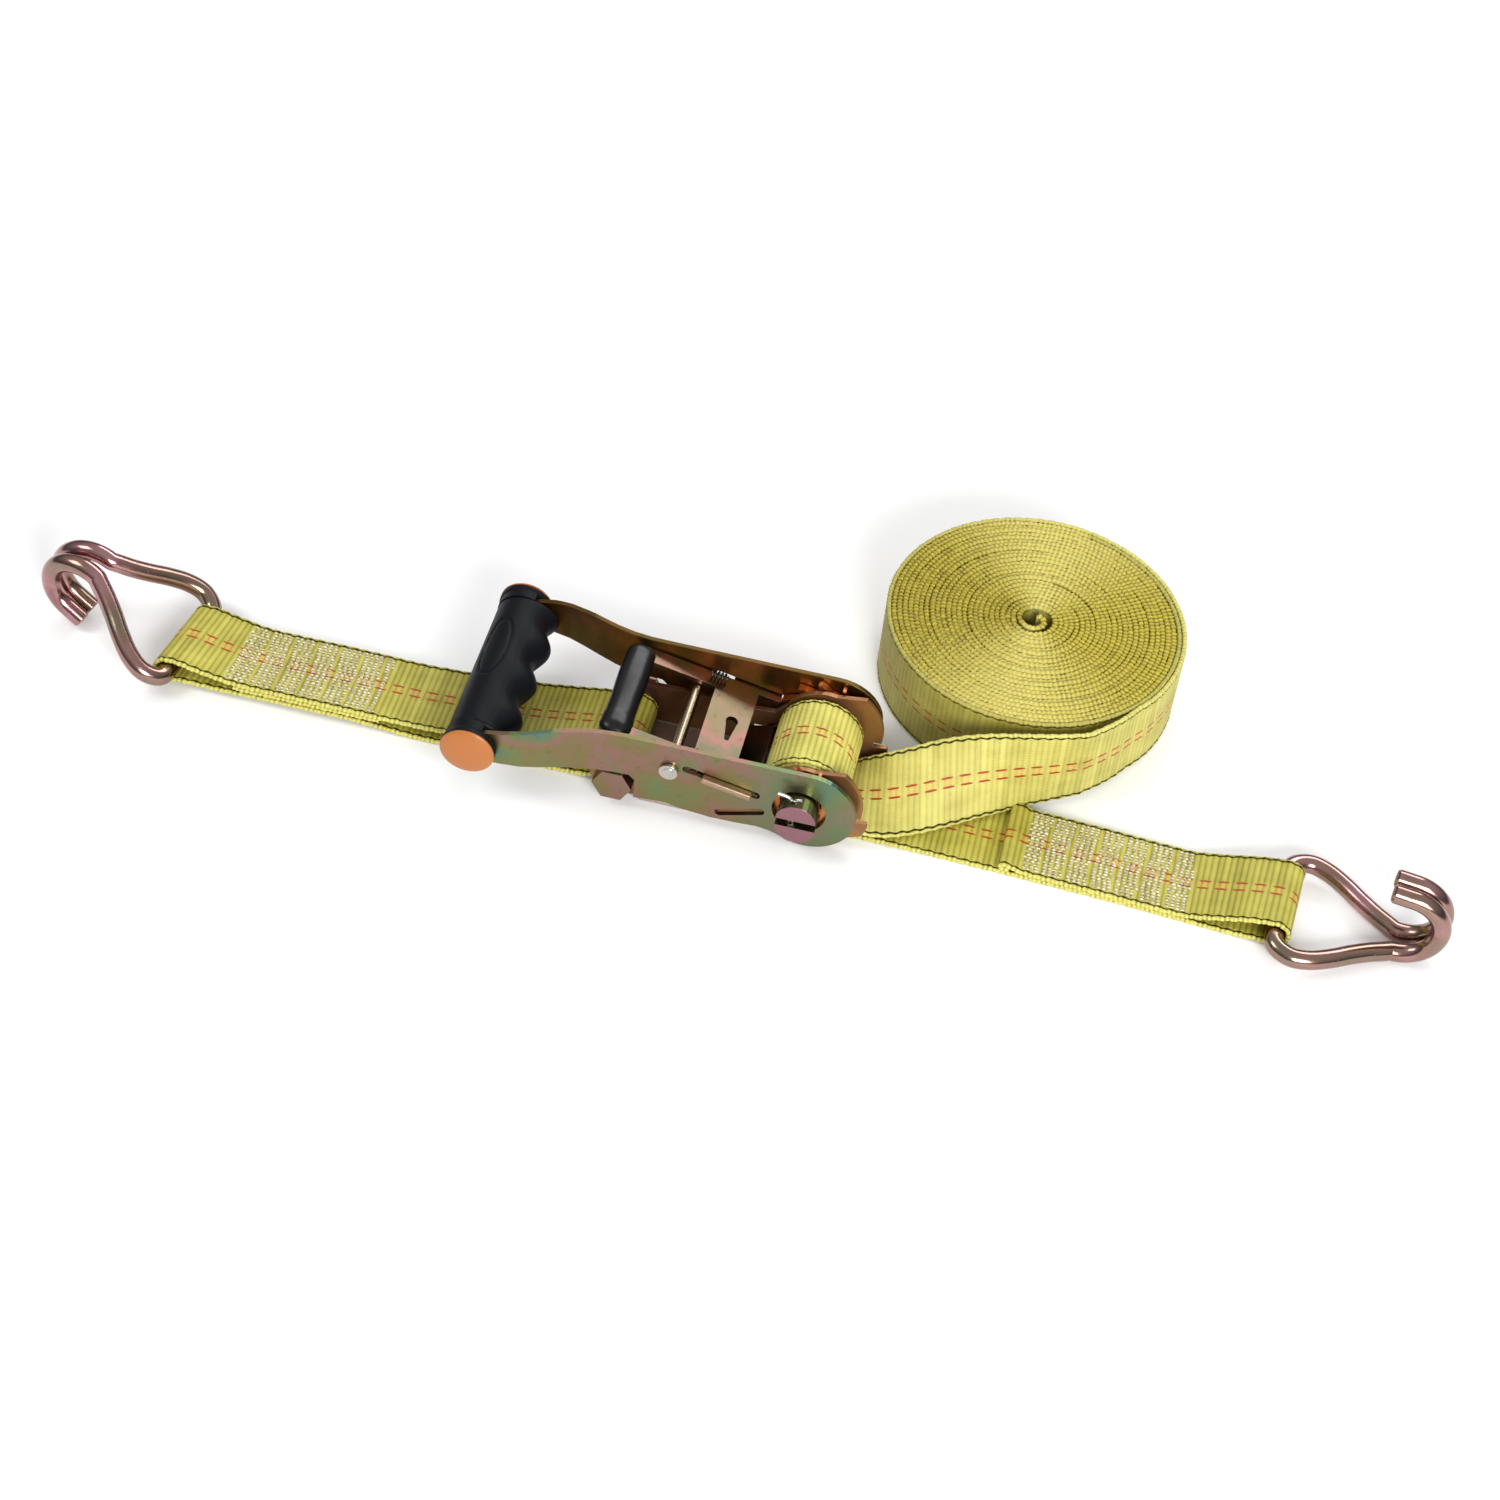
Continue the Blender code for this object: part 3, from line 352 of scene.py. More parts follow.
# painted shade: the coil's webbing is a darker copy of the same webbing, standing for the shade in
# the gaps between its wound turns; a painted sheen then lightens its front and back
WEB_COIL_SHADED = webbing_material(
    "webbing_weave_coil_shaded", light=(144, 128, 26), dark=(76, 64, 4), ribs=0.30,
    pale=(190, 176, 58), edge_pale=(0.82, 0.06), bead=COIL_BEAD, painted_sheen=0.38)
THREAD = thread_material()
SATIN = plated(
    "zinc_satin", [(94, 124, 106), (118, 126, 78), (132, 114, 76), (146, 108, 98), (116, 124, 80),
                   (98, 122, 104)], scale=30.0, rough=(0.30, 0.44), seed=1.3,
    near=dict(centre=tuple(HUB * MM), full=0.018, none=0.05, tone=(104, 124, 92)))
# the far arm's top tone is painted shade on its up-facing edges
GOLD = plated(
    "zinc_gold", [(84, 74, 26), (112, 90, 36), (150, 98, 58), (112, 84, 36), (92, 84, 36)],
    scale=22.0, rough=(0.30, 0.46), seed=4.1, top=(64, 54, 28))
COPPER = plated(
    "zinc_copper", [(96, 54, 34), (168, 98, 58), (196, 128, 76), (120, 62, 48), (140, 92, 38)],
    scale=34.0, rough=(0.2, 0.36), seed=2.2)
SHAFT = plated(
    "zinc_shaft", [(112, 124, 92), (132, 122, 90), (122, 130, 100), (140, 112, 96)],
    scale=34.0, rough=(0.2, 0.36), seed=6.4, beyond=(0.0504, (146, 104, 112)))
ROD = plated(
    "zinc_rod", [(150, 134, 104), (164, 140, 124), (140, 134, 108), (170, 140, 128)],
    scale=30.0, rough=(0.18, 0.3), seed=7.4, beyond=(0.0408, (186, 184, 176)))
PAWL = plated(
    "zinc_pawl", [(112, 84, 78), (98, 92, 68), (124, 90, 82), (92, 94, 72), (120, 80, 78)],
    scale=30.0, rough=(0.24, 0.38), seed=3.1)
EAR = plated("zinc_ear", [(176, 134, 122), (160, 140, 112), (188, 142, 130)],
             scale=60.0, rough=(0.3, 0.44), seed=3.9)
INNER = plated(
    "zinc_inner", [(104, 68, 52), (138, 94, 62), (160, 118, 66), (122, 82, 76)],
    scale=26.0, rough=(0.26, 0.42), seed=3.6, metallic=0.72, below=(0.0036, (196, 188, 178)))
HOOKS = plated(
    "zinc_hook", [(138, 104, 100), (178, 134, 136), (152, 120, 108), (130, 122, 102),
                  (184, 140, 146)], scale=24.0, rough=(0.13, 0.24), seed=5.2, grain=0.00003)
CUT = moulded("wire_cut_face", colour=(128, 96, 84), tint=(108, 76, 66), rough=0.62, spec=0.4,
              texture=0.0003, scale=1600.0)
BRIGHT = plated("bright_zinc", [(176, 174, 168), (200, 198, 194), (186, 186, 182)],
                scale=60.0, rough=(0.16, 0.3), seed=8.0)
SPRING = plated("spring_steel", [(56, 52, 48), (78, 72, 66), (66, 62, 56)],
                scale=60.0, rough=(0.3, 0.42), seed=9.0)
GRIP_MAT = moulded("grip_plastic", colour=(8, 10, 15), tint=(13, 15, 21), rough=0.5, spec=0.14,
                   texture=0.00006, scale=1100.0)
CAP_MAT = moulded("cap_plastic", colour=(166, 98, 42), tint=(172, 106, 50), rough=0.42, spec=0.4,
                  texture=0.00004, scale=700.0, coat=0.08)
BAR_MAT = moulded("dipped_coating", colour=(7, 8, 10), tint=(10, 11, 14), rough=0.3, spec=0.3,
                  texture=0.00008, scale=120.0, coat=0.08)


# ------------------------------------------------------------------ mesh helpers
def piece(name, verts, faces, mats, body=None, node=None, web=None, run=None,
          face_mat=None, sharp=None):
    """A finished piece from points in millimetres."""
    mesh = bpy.data.meshes.new(name)
    mesh.from_pydata((np.asarray(verts) * MM).tolist(), [], faces)
    mesh.validate()
    mesh.calc_loop_triangles()
    triangles = np.empty(len(mesh.loop_triangles) * 3, np.int32)
    mesh.loop_triangles.foreach_get("vertices", triangles)
    places = np.empty(len(mesh.vertices) * 3, np.float32)
    mesh.vertices.foreach_get("co", places)
    corners = places.astype(float).reshape(-1, 3)[triangles.reshape(-1, 3)]
    volume = (corners[:, 0] * np.cross(corners[:, 1], corners[:, 2])).sum()
    if volume < 0:              # every piece's faces point outwards
        mesh.flip_normals()
    for mat in mats:
        mesh.materials.append(mat)
    if face_mat is not None:
        mesh.polygons.foreach_set("material_index", np.asarray(face_mat, np.int32))
    for label, values in (("web", web), ("run", run)):
        if values is not None:
            attribute = mesh.attributes.new(label, "FLOAT_VECTOR", "POINT")
            attribute.data.foreach_set("vector", np.asarray(values, np.float32).ravel())
    mesh.shade_smooth()
    if sharp:
        mesh.set_sharp_from_angle(angle=math.radians(sharp))
    mesh.update()
    obj = bpy.data.objects.new(name, mesh)
    bpy.context.scene.collection.objects.link(obj)
    if body:
        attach(obj, body)
    if node:
        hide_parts(node)
    return obj


def ring_faces(rows, cols, first=0, flip=False):
    """Quads between closed rings, with one face closing each end."""
    i = np.arange(rows - 1)[:, None] * cols + first
    j = np.arange(cols)[None, :]
    k = (j + 1) % cols
    quads = np.stack([i + j, i + k, i + cols + k, i + cols + j], -1).reshape(-1, 4)
    last = first + (rows - 1) * cols
    faces = quads.tolist()
    faces.append(list(range(first, first + cols))[::-1])
    faces.append(list(range(last, last + cols)))
    return [face[::-1] for face in faces] if flip else faces


def unit(vectors):
    return vectors / np.linalg.norm(vectors, axis=-1, keepdims=True)


def around(count):
    """Evenly spaced angles round a full turn."""
    return np.linspace(0, 2 * math.pi, count + 1)[:-1]


def distances(points):
    """Distance along a path to each of its points."""
    return np.r_[0, np.cumsum(np.linalg.norm(np.diff(points, axis=0), axis=1))]


def catmull(points, steps):
    """A smooth curve through the points, with that many steps between neighbours."""
    pts = [np.asarray(p, float) for p in points]
    ext = [2 * pts[0] - pts[1]] + pts + [2 * pts[-1] - pts[-2]]
    out = []
    for a, b, c, d in zip(ext, ext[1:], ext[2:], ext[3:]):
        for k in range(steps):
            t = k / steps
            out.append(0.5 * (2 * b + (c - a) * t + (2 * a - 5 * b + 4 * c - d) * t * t
                              + (3 * b - a - 3 * c + d) * t ** 3))
    out.append(pts[-1])
    return np.array(out)


def resample(points, step):
    """Points at even spacing along a path; extra columns ride along."""
    points = np.asarray(points, float)
    at = distances(points[:, :3])
    count = max(2, int(round(at[-1] / step)) + 1)
    even = np.linspace(0, at[-1], count)
    return np.stack([np.interp(even, at, column) for column in points.T], 1)


def arc(cx, cz, r, start, end, count):
    """Points (x, z) on an arc, with its angles in degrees."""
    return [(cx + r * math.cos(t), cz + r * math.sin(t))
            for t in np.radians(np.linspace(start, end, count))]


def hub_point(angle, out, off, y):
    """A point out from the hub's axis in a direction, and off to the side of that line."""
    return (HUB[0] + out * math.cos(angle) - off * math.sin(angle), y,
            HUB[2] + out * math.sin(angle) + off * math.cos(angle))


def smooth_noise(x, seed):
    """Soft wandering between about -1 and 1, the same each run."""
    random = np.random.default_rng(seed)
    out = np.zeros_like(x)
    for k in range(3):
        out = out + (np.sin(x * 1.9 ** k + random.uniform(0, 6.28))
                     * np.sin(x * 0.37 * 1.7 ** k + random.uniform(0, 6.28)) / 1.4 ** k)
    return out / 1.6


# ------------------------------------------------------------------ webbing strips
# places across a strip's face, as shares of its half width
STRIP_ACROSS = (
    -1, -0.99, -0.965, -0.94, -0.915, -0.895, -0.87, -0.8, -0.65, -0.45, -0.25, -0.08,
    0.08, 0.25, 0.45, 0.65, 0.8, 0.87, 0.895, 0.915, 0.94, 0.965, 0.99, 1.0)
COIL_ACROSS = (-1, -0.975, -0.9, 0.9, 0.955, 0.985, 1.0)


def strip(name, path, across, body, seed, rib, mat=WEB, node=None, s0=0.0, places=STRIP_ACROSS,
          warp=None, wavy=0.42, bead=0.0, bead_pitch=COIL_BEAD, half=WEB_HALF, thick=WEB_T,
          rough_edge=0.0):
    """A webbing strip: ribs across it, swollen selvages with a groove for the tracer, lumpy edges.

    Returns its path and the path's normals.
    """
    across = unit(np.broadcast_to(np.asarray(across, float), path.shape))
    tangent = unit(np.gradient(path, axis=0))
    normal = unit(np.cross(tangent, across))
    s = (s0 + distances(path))[:, None]
    u = np.array(places)
    au = np.abs(u)
    selvage = (au > 0.93) & (au < 0.999)

    # half thickness: rounded edge, selvage ridge, tracer groove, then ribs and edge lumps
    rounding = np.sqrt(np.clip(1 - ((au - 0.955) / 0.0452) ** 2, 0.0, 1))
    height = np.where(au > 0.955, rounding, 1.0) * thick / 2
    height += np.where((au > 0.92) & (au < 0.99), 0.13, 0.0)
    height -= np.where((au > 0.885) & (au < 0.92), 0.17, 0.0)
    ribbed = np.clip((0.985 - au) / 0.05, 0, 1)
    ribs = rib * np.cos(2 * math.pi * s / RIB)
    fold = 0.16 * smooth_noise(s / 9.0, seed + 5)           # some ribs stand out more than others
    lumps = (0.24 * np.cos(2 * math.pi * s / EDGE_BEAD + 0.9)
             + 0.12 * smooth_noise(s / 3.0, seed + 3))
    height = height + (ribs + np.maximum(0, fold)) * ribbed * 0.9 + lumps * selvage

    # half width, wandering separately on each edge
    wander = (0.55 * np.cos(2 * math.pi * s / (2 * RIB)) * np.sign(u)
              + 0.5 * smooth_noise(s / 14.0, seed) * (u > 0)
              + 0.5 * smooth_noise(s / 14.0, seed + 9) * (u <= 0))
    width = u * (half + wavy * wander * au ** 3)

    if rough_edge:
        jitter = np.random.default_rng(seed + 77).normal(0, 1, (len(s), 3))
        jitter = 0.5 * jitter + 0.5 * np.roll(jitter, 1, axis=0)
        width = width + rough_edge * (jitter[:, :1] * (u > 0.93) + jitter[:, 1:2] * (u < -0.93))
        height = height * (1 + 0.12 * jitter[:, 2:] * (au > 0.93))
    if bead:
        beads = np.cos(2 * math.pi * s / bead_pitch)
        outer = np.clip((au - 0.93) / 0.07, 0, 1) * np.sign(u)
        width = width + bead * (beads + 0.4 * np.sin(s / 3.1)) * outer
        height = height + 0.28 * beads * selvage

    # each ring goes over the face and back under it, sharing the two edge points
    ring_w = np.concatenate([width, width[:, -2:0:-1]], 1)
    ring_h = np.concatenate([height * (au <= 0.9999), -height[:, -2:0:-1]], 1)
    ring_u = np.concatenate([u, u[-2:0:-1]])
    verts = (path[:, None] + across[:, None] * ring_w[..., None]
             + normal[:, None] * ring_h[..., None])
    rows, cols = verts.shape[:2]
    verts = verts.reshape(-1, 3)
    if warp:
        verts = warp(verts)
    if body == "base":
        verts[:, 2] = np.maximum(verts[:, 2], 0.06)         # nothing sinks into the floor
    web = np.stack([np.repeat(s, cols), np.tile(ring_u * WEB_HALF, rows),
                    np.zeros(rows * cols)], 1)
    piece(name, verts, ring_faces(rows, cols), [mat], body, node,
          web=web, run=np.repeat(tangent, cols, axis=0))
    return path, normal


def skewed(points, sway, yaw, share):
    """Points moved along Y by sway, and turned with the hook's bar by a share of its yaw."""
    out = points.copy()
    out[:, 0] -= points[:, 1] * math.tan(yaw) * np.clip(share, 0, 1)
    out[:, 1] += sway
    return out


def left_warp(points):
    start_x, loop_y = -64.0, 0.8
    x = points[:, 0]
    sway = loop_y * np.maximum(0.0, start_x - x) / (start_x - LEFT_BAR[0])
    return skewed(points, sway, LEFT_YAW, share=(-250.0 - x) / 50.0)


def right_warp(points):
    loop_y = -11.8
    x = points[:, 0]
    sway = loop_y * np.maximum(0.0, (x - HUB[0]) / (RIGHT_BAR[0] - HUB[0])) ** 2
    return skewed(points, sway, RIGHT_YAW, share=(x - 262.0) / 60.0)


def flat_path(points):
    """A path drawn in (x, z), for a strip that lies across Y."""
    return resample(np.insert(np.asarray(points, float), 1, 0.0, axis=1), 0.78)


LOOP_R = WIRE_R + 1.0 + WEB_T / 2       # middle of the webbing round a hook's bar
BOLT_WRAP_R = 9.85                      # and round the bolt
FACING_UP, FACING_DOWN = (0.0, -1.0, 0.0), (0.0, 1.0, 0.0)      # across a path running to -X


def fixed_end_strap():
    """Round the bolt, out along the top, round the hook's bar and back underneath."""
    x, _, z = LEFT_BAR
    upper = catmull([
        (BOLT_X, BOLT_Z + BOLT_WRAP_R), (-52, 25.3), (-62, 23.6), (-80, 19.9), (-97, 16.8),
        (-118, 14.0), (-137, 12.0), (-160, 10.6), (-183, 10.2), (-195, 10.65), (-225, 10.7),
        (-255, 10.65), (-264, 10.8), (-273, 11.6), (-282, 13.4), (x + 17, 15.4), (x + 6, 18.4),
    ], 8)
    lower = catmull([
        (x - 0.8, z - 7.6), (x + 10, 4.5), (x + 24, 4.0), (x + 42, 4.1), (-240, 4.6),
        (-205, 4.4), (-180, 2.6), (-160, 1.5), (-120, 1.4), (-90, 1.5), (-68, 2.3), (-52, 4.9),
        (BOLT_X, BOLT_Z - BOLT_WRAP_R),
    ], 10)
    path = np.vstack([arc(BOLT_X, BOLT_Z, BOLT_WRAP_R, -90, 90, 26), upper[1:],
                      arc(x, z, LOOP_R, 100, 262, 30), lower[1:]])
    run = strip("fixed_end_strap_webbing", flat_path(path), FACING_UP, "base", seed=3, rib=0.17,
                node="fixed_end_strap", warp=left_warp)
    ply = [(-185.5, 7.9), (-190, 8.0), (-230, 7.95), (-266, 8.0), (-271, 8.4)]
    strip("fixed_end_strap_inner_ply", flat_path(ply), FACING_UP, "base", seed=8, rib=0.05,
          warp=left_warp, s0=2.0, wavy=0.3)
    return run


def hook_end_strap():
    """Out from the hub along the floor, round the hook's bar and back on top to a folded end."""
    x, _, z = RIGHT_BAR
    low = catmull([
        (71, 1.3), (120, 1.3), (200, 1.3), (x - 50, 1.35), (x - 34, 1.4), (x - 20, 2.0),
        (x - 10, 3.0), (x + 0.6, z - LOOP_R),
    ], 12)
    high = catmull([
        (x + 0.6, z + LOOP_R), (x - 6, 17.9), (x - 17, 15.2), (x - 33, 9.9), (x - 46, 5.9),
        (x - 55, 4.3), (260, 4.12), (230, 4.1), (205, 4.1), (193, 4.3), (187.5, 5.2),
        (183.5, 6.7), (180.6, 7.2), (178.5, 6.2), (178.2, 4.9), (179.8, 4.0), (183.5, 3.75),
    ], 10)
    path = np.vstack([low[:-1], arc(x, z, LOOP_R, -85, 85, 30), high[1:]])
    return strip("hook_end_strap_webbing", flat_path(path), FACING_DOWN, "base", seed=12,
                 rib=0.17, node="hook_end_strap", warp=right_warp, s0=1.0)


LEFT_RUN = fixed_end_strap()
RIGHT_RUN = hook_end_strap()

# ------------------------------------------------------------------ tail and coil
COIL_X, COIL_Y, COIL_Z0 = 167.0, 129.5, 0.6
COIL_MID = 86.3 + 0.6 + WEB_T / 2       # radius of the outer turn's middle
PITCH = 3.18                            # from turn to turn
TURNS = 25.2
COIL_START = 4                          # degrees, where the tail meets the coil
SPLIT = 432.0                           # degrees of the coil that belong to the tail's strip

# the tail's lower edge: x, y, z and the webbing's lean in degrees (90 stands on edge)
TAIL = [
    (78.5, -25.2, 4.6, 0.6), (81.5, -25.2, 4.85, 2.4), (86.0, -25.3, 5.1, 5.5),
    (98.0, -25.6, 4.4, 16), (112.0, -23.0, 4.2, 27), (128.0, -15.5, 4.2, 39),
    (146.0, -3.5, 4.3, 53), (163.0, 9.0, 4.4, 67), (181.0, 22.5, 4.0, 79),
    (197.0, 33.5, 3.4, 86), (212.0, 43.9, 2.6, 90),
]


def coil_radius(theta):
    """Radius of the wound webbing's middle, theta degrees after the tail meets the coil."""
    turn = theta / 360.0
    angle = np.radians(theta)
    r = COIL_MID - PITCH * turn
    r = r + 0.12 * np.sin(angle * 1.013 + 0.6) * np.clip(turn, 0, 1) * np.sin(turn * 1.7)
    r = r + 0.07 * np.sin(angle * 2.02 + turn)
    last = 0.9                          # the end of the webbing turns inwards over this much
    return r - 5.5 * np.clip((turn - (TURNS - last)) / last, 0, 1) ** 1.5


def coil_path(theta, z):
    r = coil_radius(theta)
    angle = np.radians(COIL_START + theta)
    return np.stack([COIL_X + r * np.cos(angle), COIL_Y + r * np.sin(angle),
                     z + np.zeros(len(theta))], 1)


def tail_strap():
    """The tail, standing up as it goes, and the coil's first turns; returns its length."""
    rows = []
    for x, y, z, lean in catmull(TAIL, 10):
        a = math.radians(lean)
        across = unit(np.array([-0.42 * math.sin(a) * math.cos(a), math.cos(a), math.sin(a)]))
        rows.append((*(np.array([x, y, z]) + across * WEB_HALF), *across))

    # ease from the last station onto the coil
    x, y, z, _ = TAIL[-1]
    angle0 = math.atan2(y - COIL_Y, x - COIL_X)
    radius0 = math.hypot(y - COIL_Y, x - COIL_X)
    for i in range(1, 61):
        t = i / 60
        a = angle0 * (1 - t) + math.radians(COIL_START) * t
        r = radius0 + (COIL_MID - radius0) * min(1.0, t / 0.35) ** 0.8
        low = z + (COIL_Z0 - z) * min(1.0, t / 0.5)
        rows.append((COIL_X + r * math.cos(a), COIL_Y + r * math.sin(a), low + WEB_HALF, 0, 0, 1))
    wound = coil_path(np.arange(0.6, SPLIT + 0.01, 0.6), COIL_Z0 + WEB_HALF)
    rows += [(*point, 0, 0, 1) for point in wound]

    rows = resample(rows, 0.85)
    strip("tail_strap_webbing", rows[:, :3], rows[:, 3:], "base", seed=21, rib=0.12,
          mat=WEB_TAIL, node="tail_strap")
    return distances(rows[:, :3])[-1]


def coil_turns(tail_length):
    theta = [SPLIT - 0.2]
    while theta[-1] < TURNS * 360:
        theta.append(theta[-1] + math.degrees(0.94 / max(4.0, float(coil_radius(theta[-1])))))
    theta = np.array(theta)
    turn = theta / 360.0
    rise = (0.5 * smooth_noise(theta / 47.0, 4) + 0.3 * np.sin(turn * 2.4 + 0.5)
            + 0.25 * smooth_noise(theta / 9.0, 14) + 0.5 * np.clip((turn - TURNS + 1.2), 0, 2))
    path = coil_path(theta, COIL_Z0 + WEB_HALF + rise - 0.2)
    strip("webbing_coil_turns", path, (0.0, 0.0, 1.0), "base", seed=31, rib=0.10, mat=WEB_COIL_SHADED,
          node="webbing_coil", s0=tail_length, bead=0.30, places=COIL_ACROSS, wavy=0.3,
          thick=2.95, rough_edge=0.24)


coil_turns(tail_strap())


# ------------------------------------------------------------------ webbing on the mandrel
def mandrel_webbing():
    """The roll wound on the mandrel, and the length that passes through its slot."""
    end, turns = -64, 4.25
    inner_r, outer_r, slot_half = 13.9, 24.5, 13.2
    phi = np.radians(np.arange(end - 360 * turns, end + 0.1, 1.8))
    r = np.interp(phi, [phi[0], phi[-1]], [inner_r, outer_r]) + 0.14 * np.sin(2.0 * phi + 0.5)
    path = np.stack([HUB[0] + r * np.cos(phi), np.zeros(len(phi)), HUB[2] + r * np.sin(phi)], 1)
    path = resample(path, 0.8)
    path[:, 1] += 0.35 * np.sin(np.linspace(0, 9, len(path)))       # the turns drift sideways
    strip("mandrel_webbing", path, (0.0, -1.0, 0.0), "mandrel", seed=41, rib=0.2, mat=WEB_ROLL,
          node="webbing_roll", s0=3.0, half=24.9)
    path = flat_path([(HUB[0] - slot_half, HUB[2]), (HUB[0] + slot_half, HUB[2])])
    strip("mandrel_slot_webbing", path, (0.0, 1.0, 0.0), "mandrel", seed=43, rib=0.05,
          wavy=0.2, half=24.6)


mandrel_webbing()

# ------------------------------------------------------------------ stitching
# one stitch: place along it and radius as shares, then height in mm
STITCH = [(-1.0, 0.25, -0.45), (-0.72, 0.8, -0.05), (-0.3, 1.0, 0.12),
          (0.3, 1.0, 0.12), (0.72, 0.8, -0.05), (1.0, 0.25, -0.45)]
BAND = 14.2             # pitch of the stitched bands
SEWN = 0.80             # share of each band that is sewn
SKIPPED = 0.035         # chance that a stitch is left out


def stitches(name, run, x_from, x_to, up_sign, warp, seed):
    """Rows of stitches on the strap's upper run, in bands with bare webbing between them."""
    path, normal = run
    chosen = np.where((normal[:, 2] * up_sign > 0.5) & (path[:, 0] > x_from)
                      & (path[:, 0] < x_to) & (path[:, 2] > 3))[0]
    order = chosen[np.argsort(path[chosen, 0])]
    path_x, path_z = path[order, 0], path[order, 2]
    random = np.random.default_rng(seed)
    angles = around(6)
    verts, faces = [], []
    for j, y in enumerate(np.arange(-21.6, 21.7, 2.16)):
        x = x_from + 1.4 + (1.6 if j % 2 else 0.0)
        while x < x_to - 1.5:
            slant = 1.5 * math.sin(y / 11.0 + seed) + 1.1 * math.sin(x / 31.0)
            phase = ((x - x_from + slant) % BAND) / BAND
            if phase > SEWN or random.random() < SKIPPED:
                x += 1.1
                continue
            length = 1.15 + random.uniform(-0.12, 0.12)
            mid_x = x + random.uniform(-0.12, 0.12)
            mid_y = y + random.uniform(-0.13, 0.13)
            twist = random.uniform(-0.16, 0.16)
            radius = 0.60 + random.uniform(-0.07, 0.07)
            faces += ring_faces(len(STITCH), len(angles), len(verts), flip=True)
            for along, share, lift in STITCH:
                px = mid_x + along * length
                py = mid_y + twist * along * length
                pz = np.interp(px, path_x, path_z) + (WEB_T / 2 + 0.30) + lift
                verts += [(px, py + radius * share * math.cos(a) * 1.12,
                           pz + radius * share * math.sin(a) * 0.8) for a in angles]
            x += 2 * length + 0.75
    piece(name, warp(np.array(verts)), faces, [THREAD], "base")


stitches("stitching_fixed_end", LEFT_RUN, -278.0, -188.0, up_sign=1, warp=left_warp, seed=5)
stitches("stitching_hook_end", RIGHT_RUN, 189.5, 286.0, up_sign=-1, warp=right_warp, seed=9)


# ------------------------------------------------------------------ wires: pins, hooks, springs
def sweep(name, points, radius, sides, mats, body=None, node=None, step=None):
    """A round wire along a path, with flat chamfered ends in the last of its materials."""
    path = resample(points, step) if step else points
    tangent = unit(np.gradient(path, axis=0))
    aside = (0.0, 0.0, 1.0) if abs(tangent[0, 2]) < 0.9 else (0.0, 1.0, 0.0)
    normal = unit(np.cross(tangent[0], aside))
    angles = around(sides)[:, None]
    rings = []
    for centre, along in zip(path, tangent):
        normal = unit(normal - along * (normal @ along))
        other = np.cross(along, normal)
        rings.append(centre + radius * (np.cos(angles) * normal + np.sin(angles) * other))
    chamfer = min(0.9, radius * 0.22)
    shrink = 1 - chamfer / radius
    rings[:1] = [path[0] + (rings[0] - path[0]) * shrink, rings[0] + tangent[0] * chamfer]
    rings[-1:] = [rings[-1] - tangent[-1] * chamfer, path[-1] + (rings[-1] - path[-1]) * shrink]
    faces = ring_faces(len(rings), sides, flip=True)
    face_mat = [0] * (len(faces) - 2) + [len(mats) - 1] * 2
    return piece(name, np.concatenate(rings), faces, mats, body, node,
                 face_mat=face_mat, sharp=40)


def split_pin(tag, side):
    """A split pin through the shaft: an eye below, two legs spread apart on top."""
    x, y = 60.0, side * 46.5
    eye_z, eye_r = 12.9, 2.3
    points = [(x - 9.2, y + 0.5 * side, 46.9), (x - 6.2, y + 0.2 * side, 45.9), (x - 3.2, y, 44.9),
              (x - 1.3, y, 43.4), (x - 0.9, y, 41.0), (x - 0.9, y, 30.0), (x - 0.9, y, 15.6)]
    points += [(x + eye_r * math.cos(math.radians(a)), y, eye_z + eye_r * math.sin(math.radians(a)))
               for a in range(130, 411, 20)]
    points += [(x + 0.9, y, 15.6), (x + 0.9, y, 30.0), (x + 0.9, y, 41.0), (x + 1.4, y, 43.2),
               (x + 3.0, y, 44.2), (x + 5.2, y + 0.3 * side, 44.7)]
    sweep(f"split_pin_{tag}_wire", catmull(points, 6), 1.05, 20, [BRIGHT],
          "mandrel", f"split_pin_{tag}", step=0.6)


for tag, side in SIDES:
    split_pin(tag, side)


def hook(name, bar, tilt, yaw, side, body, node):
    """A double wire hook from its bar, pointing along X by side (-1 or 1).

    It is drawn as u (out from the bar), y (across) and w (off its plane), one half then mirrored.
    """
    pair = WIRE_R + 0.25                # half the spacing of the two wires in the curl
    neck = 0.22                         # the same where the curl starts, as a share of HOOK_HALF
    lead = [(0, 0), (0, 13), (0, 25.5), (0.8, 30.0), (5.0, HOOK_HALF - 2.2), (12.5, HOOK_HALF),
            (22.5, HOOK_HALF - 2.6)]
    lead += [(u, HOOK_HALF * share) for u, share in
             ((33, 0.76), (43, 0.56), (52.5, 0.39), (60, 0.28), (REACH, neck))]
    half = [(u, y, 0.0) for u, y in catmull(lead, 8)]
    for i in range(1, 49):
        t = math.radians(-90 + 180 * i / 48)
        apart = pair + (neck * HOOK_HALF - pair) * max(0.0, 1 - i / 24) ** 1.3
        half.append((REACH + CURL_R * math.cos(t), apart, CURL_R + CURL_R * math.sin(t)))
    half += [(REACH - back, pair, 2 * CURL_R) for back in (4.0, 8.0, 12.0)]
    whole = [(u, -y, w) for u, y, w in reversed(half)] + half[1:]
    points = []
    for u, y, w in whole:
        w *= side
        out = side * (u * math.cos(tilt) - w * math.sin(tilt))
        points.append((bar[0] + out * math.cos(yaw) - y * math.sin(yaw),
                       bar[1] + out * math.sin(yaw) + y * math.cos(yaw),
                       bar[2] + u * math.sin(tilt) + w * math.cos(tilt)))
    sweep(name, points, WIRE_R, 36, [HOOKS, CUT], body, node, step=1.4)


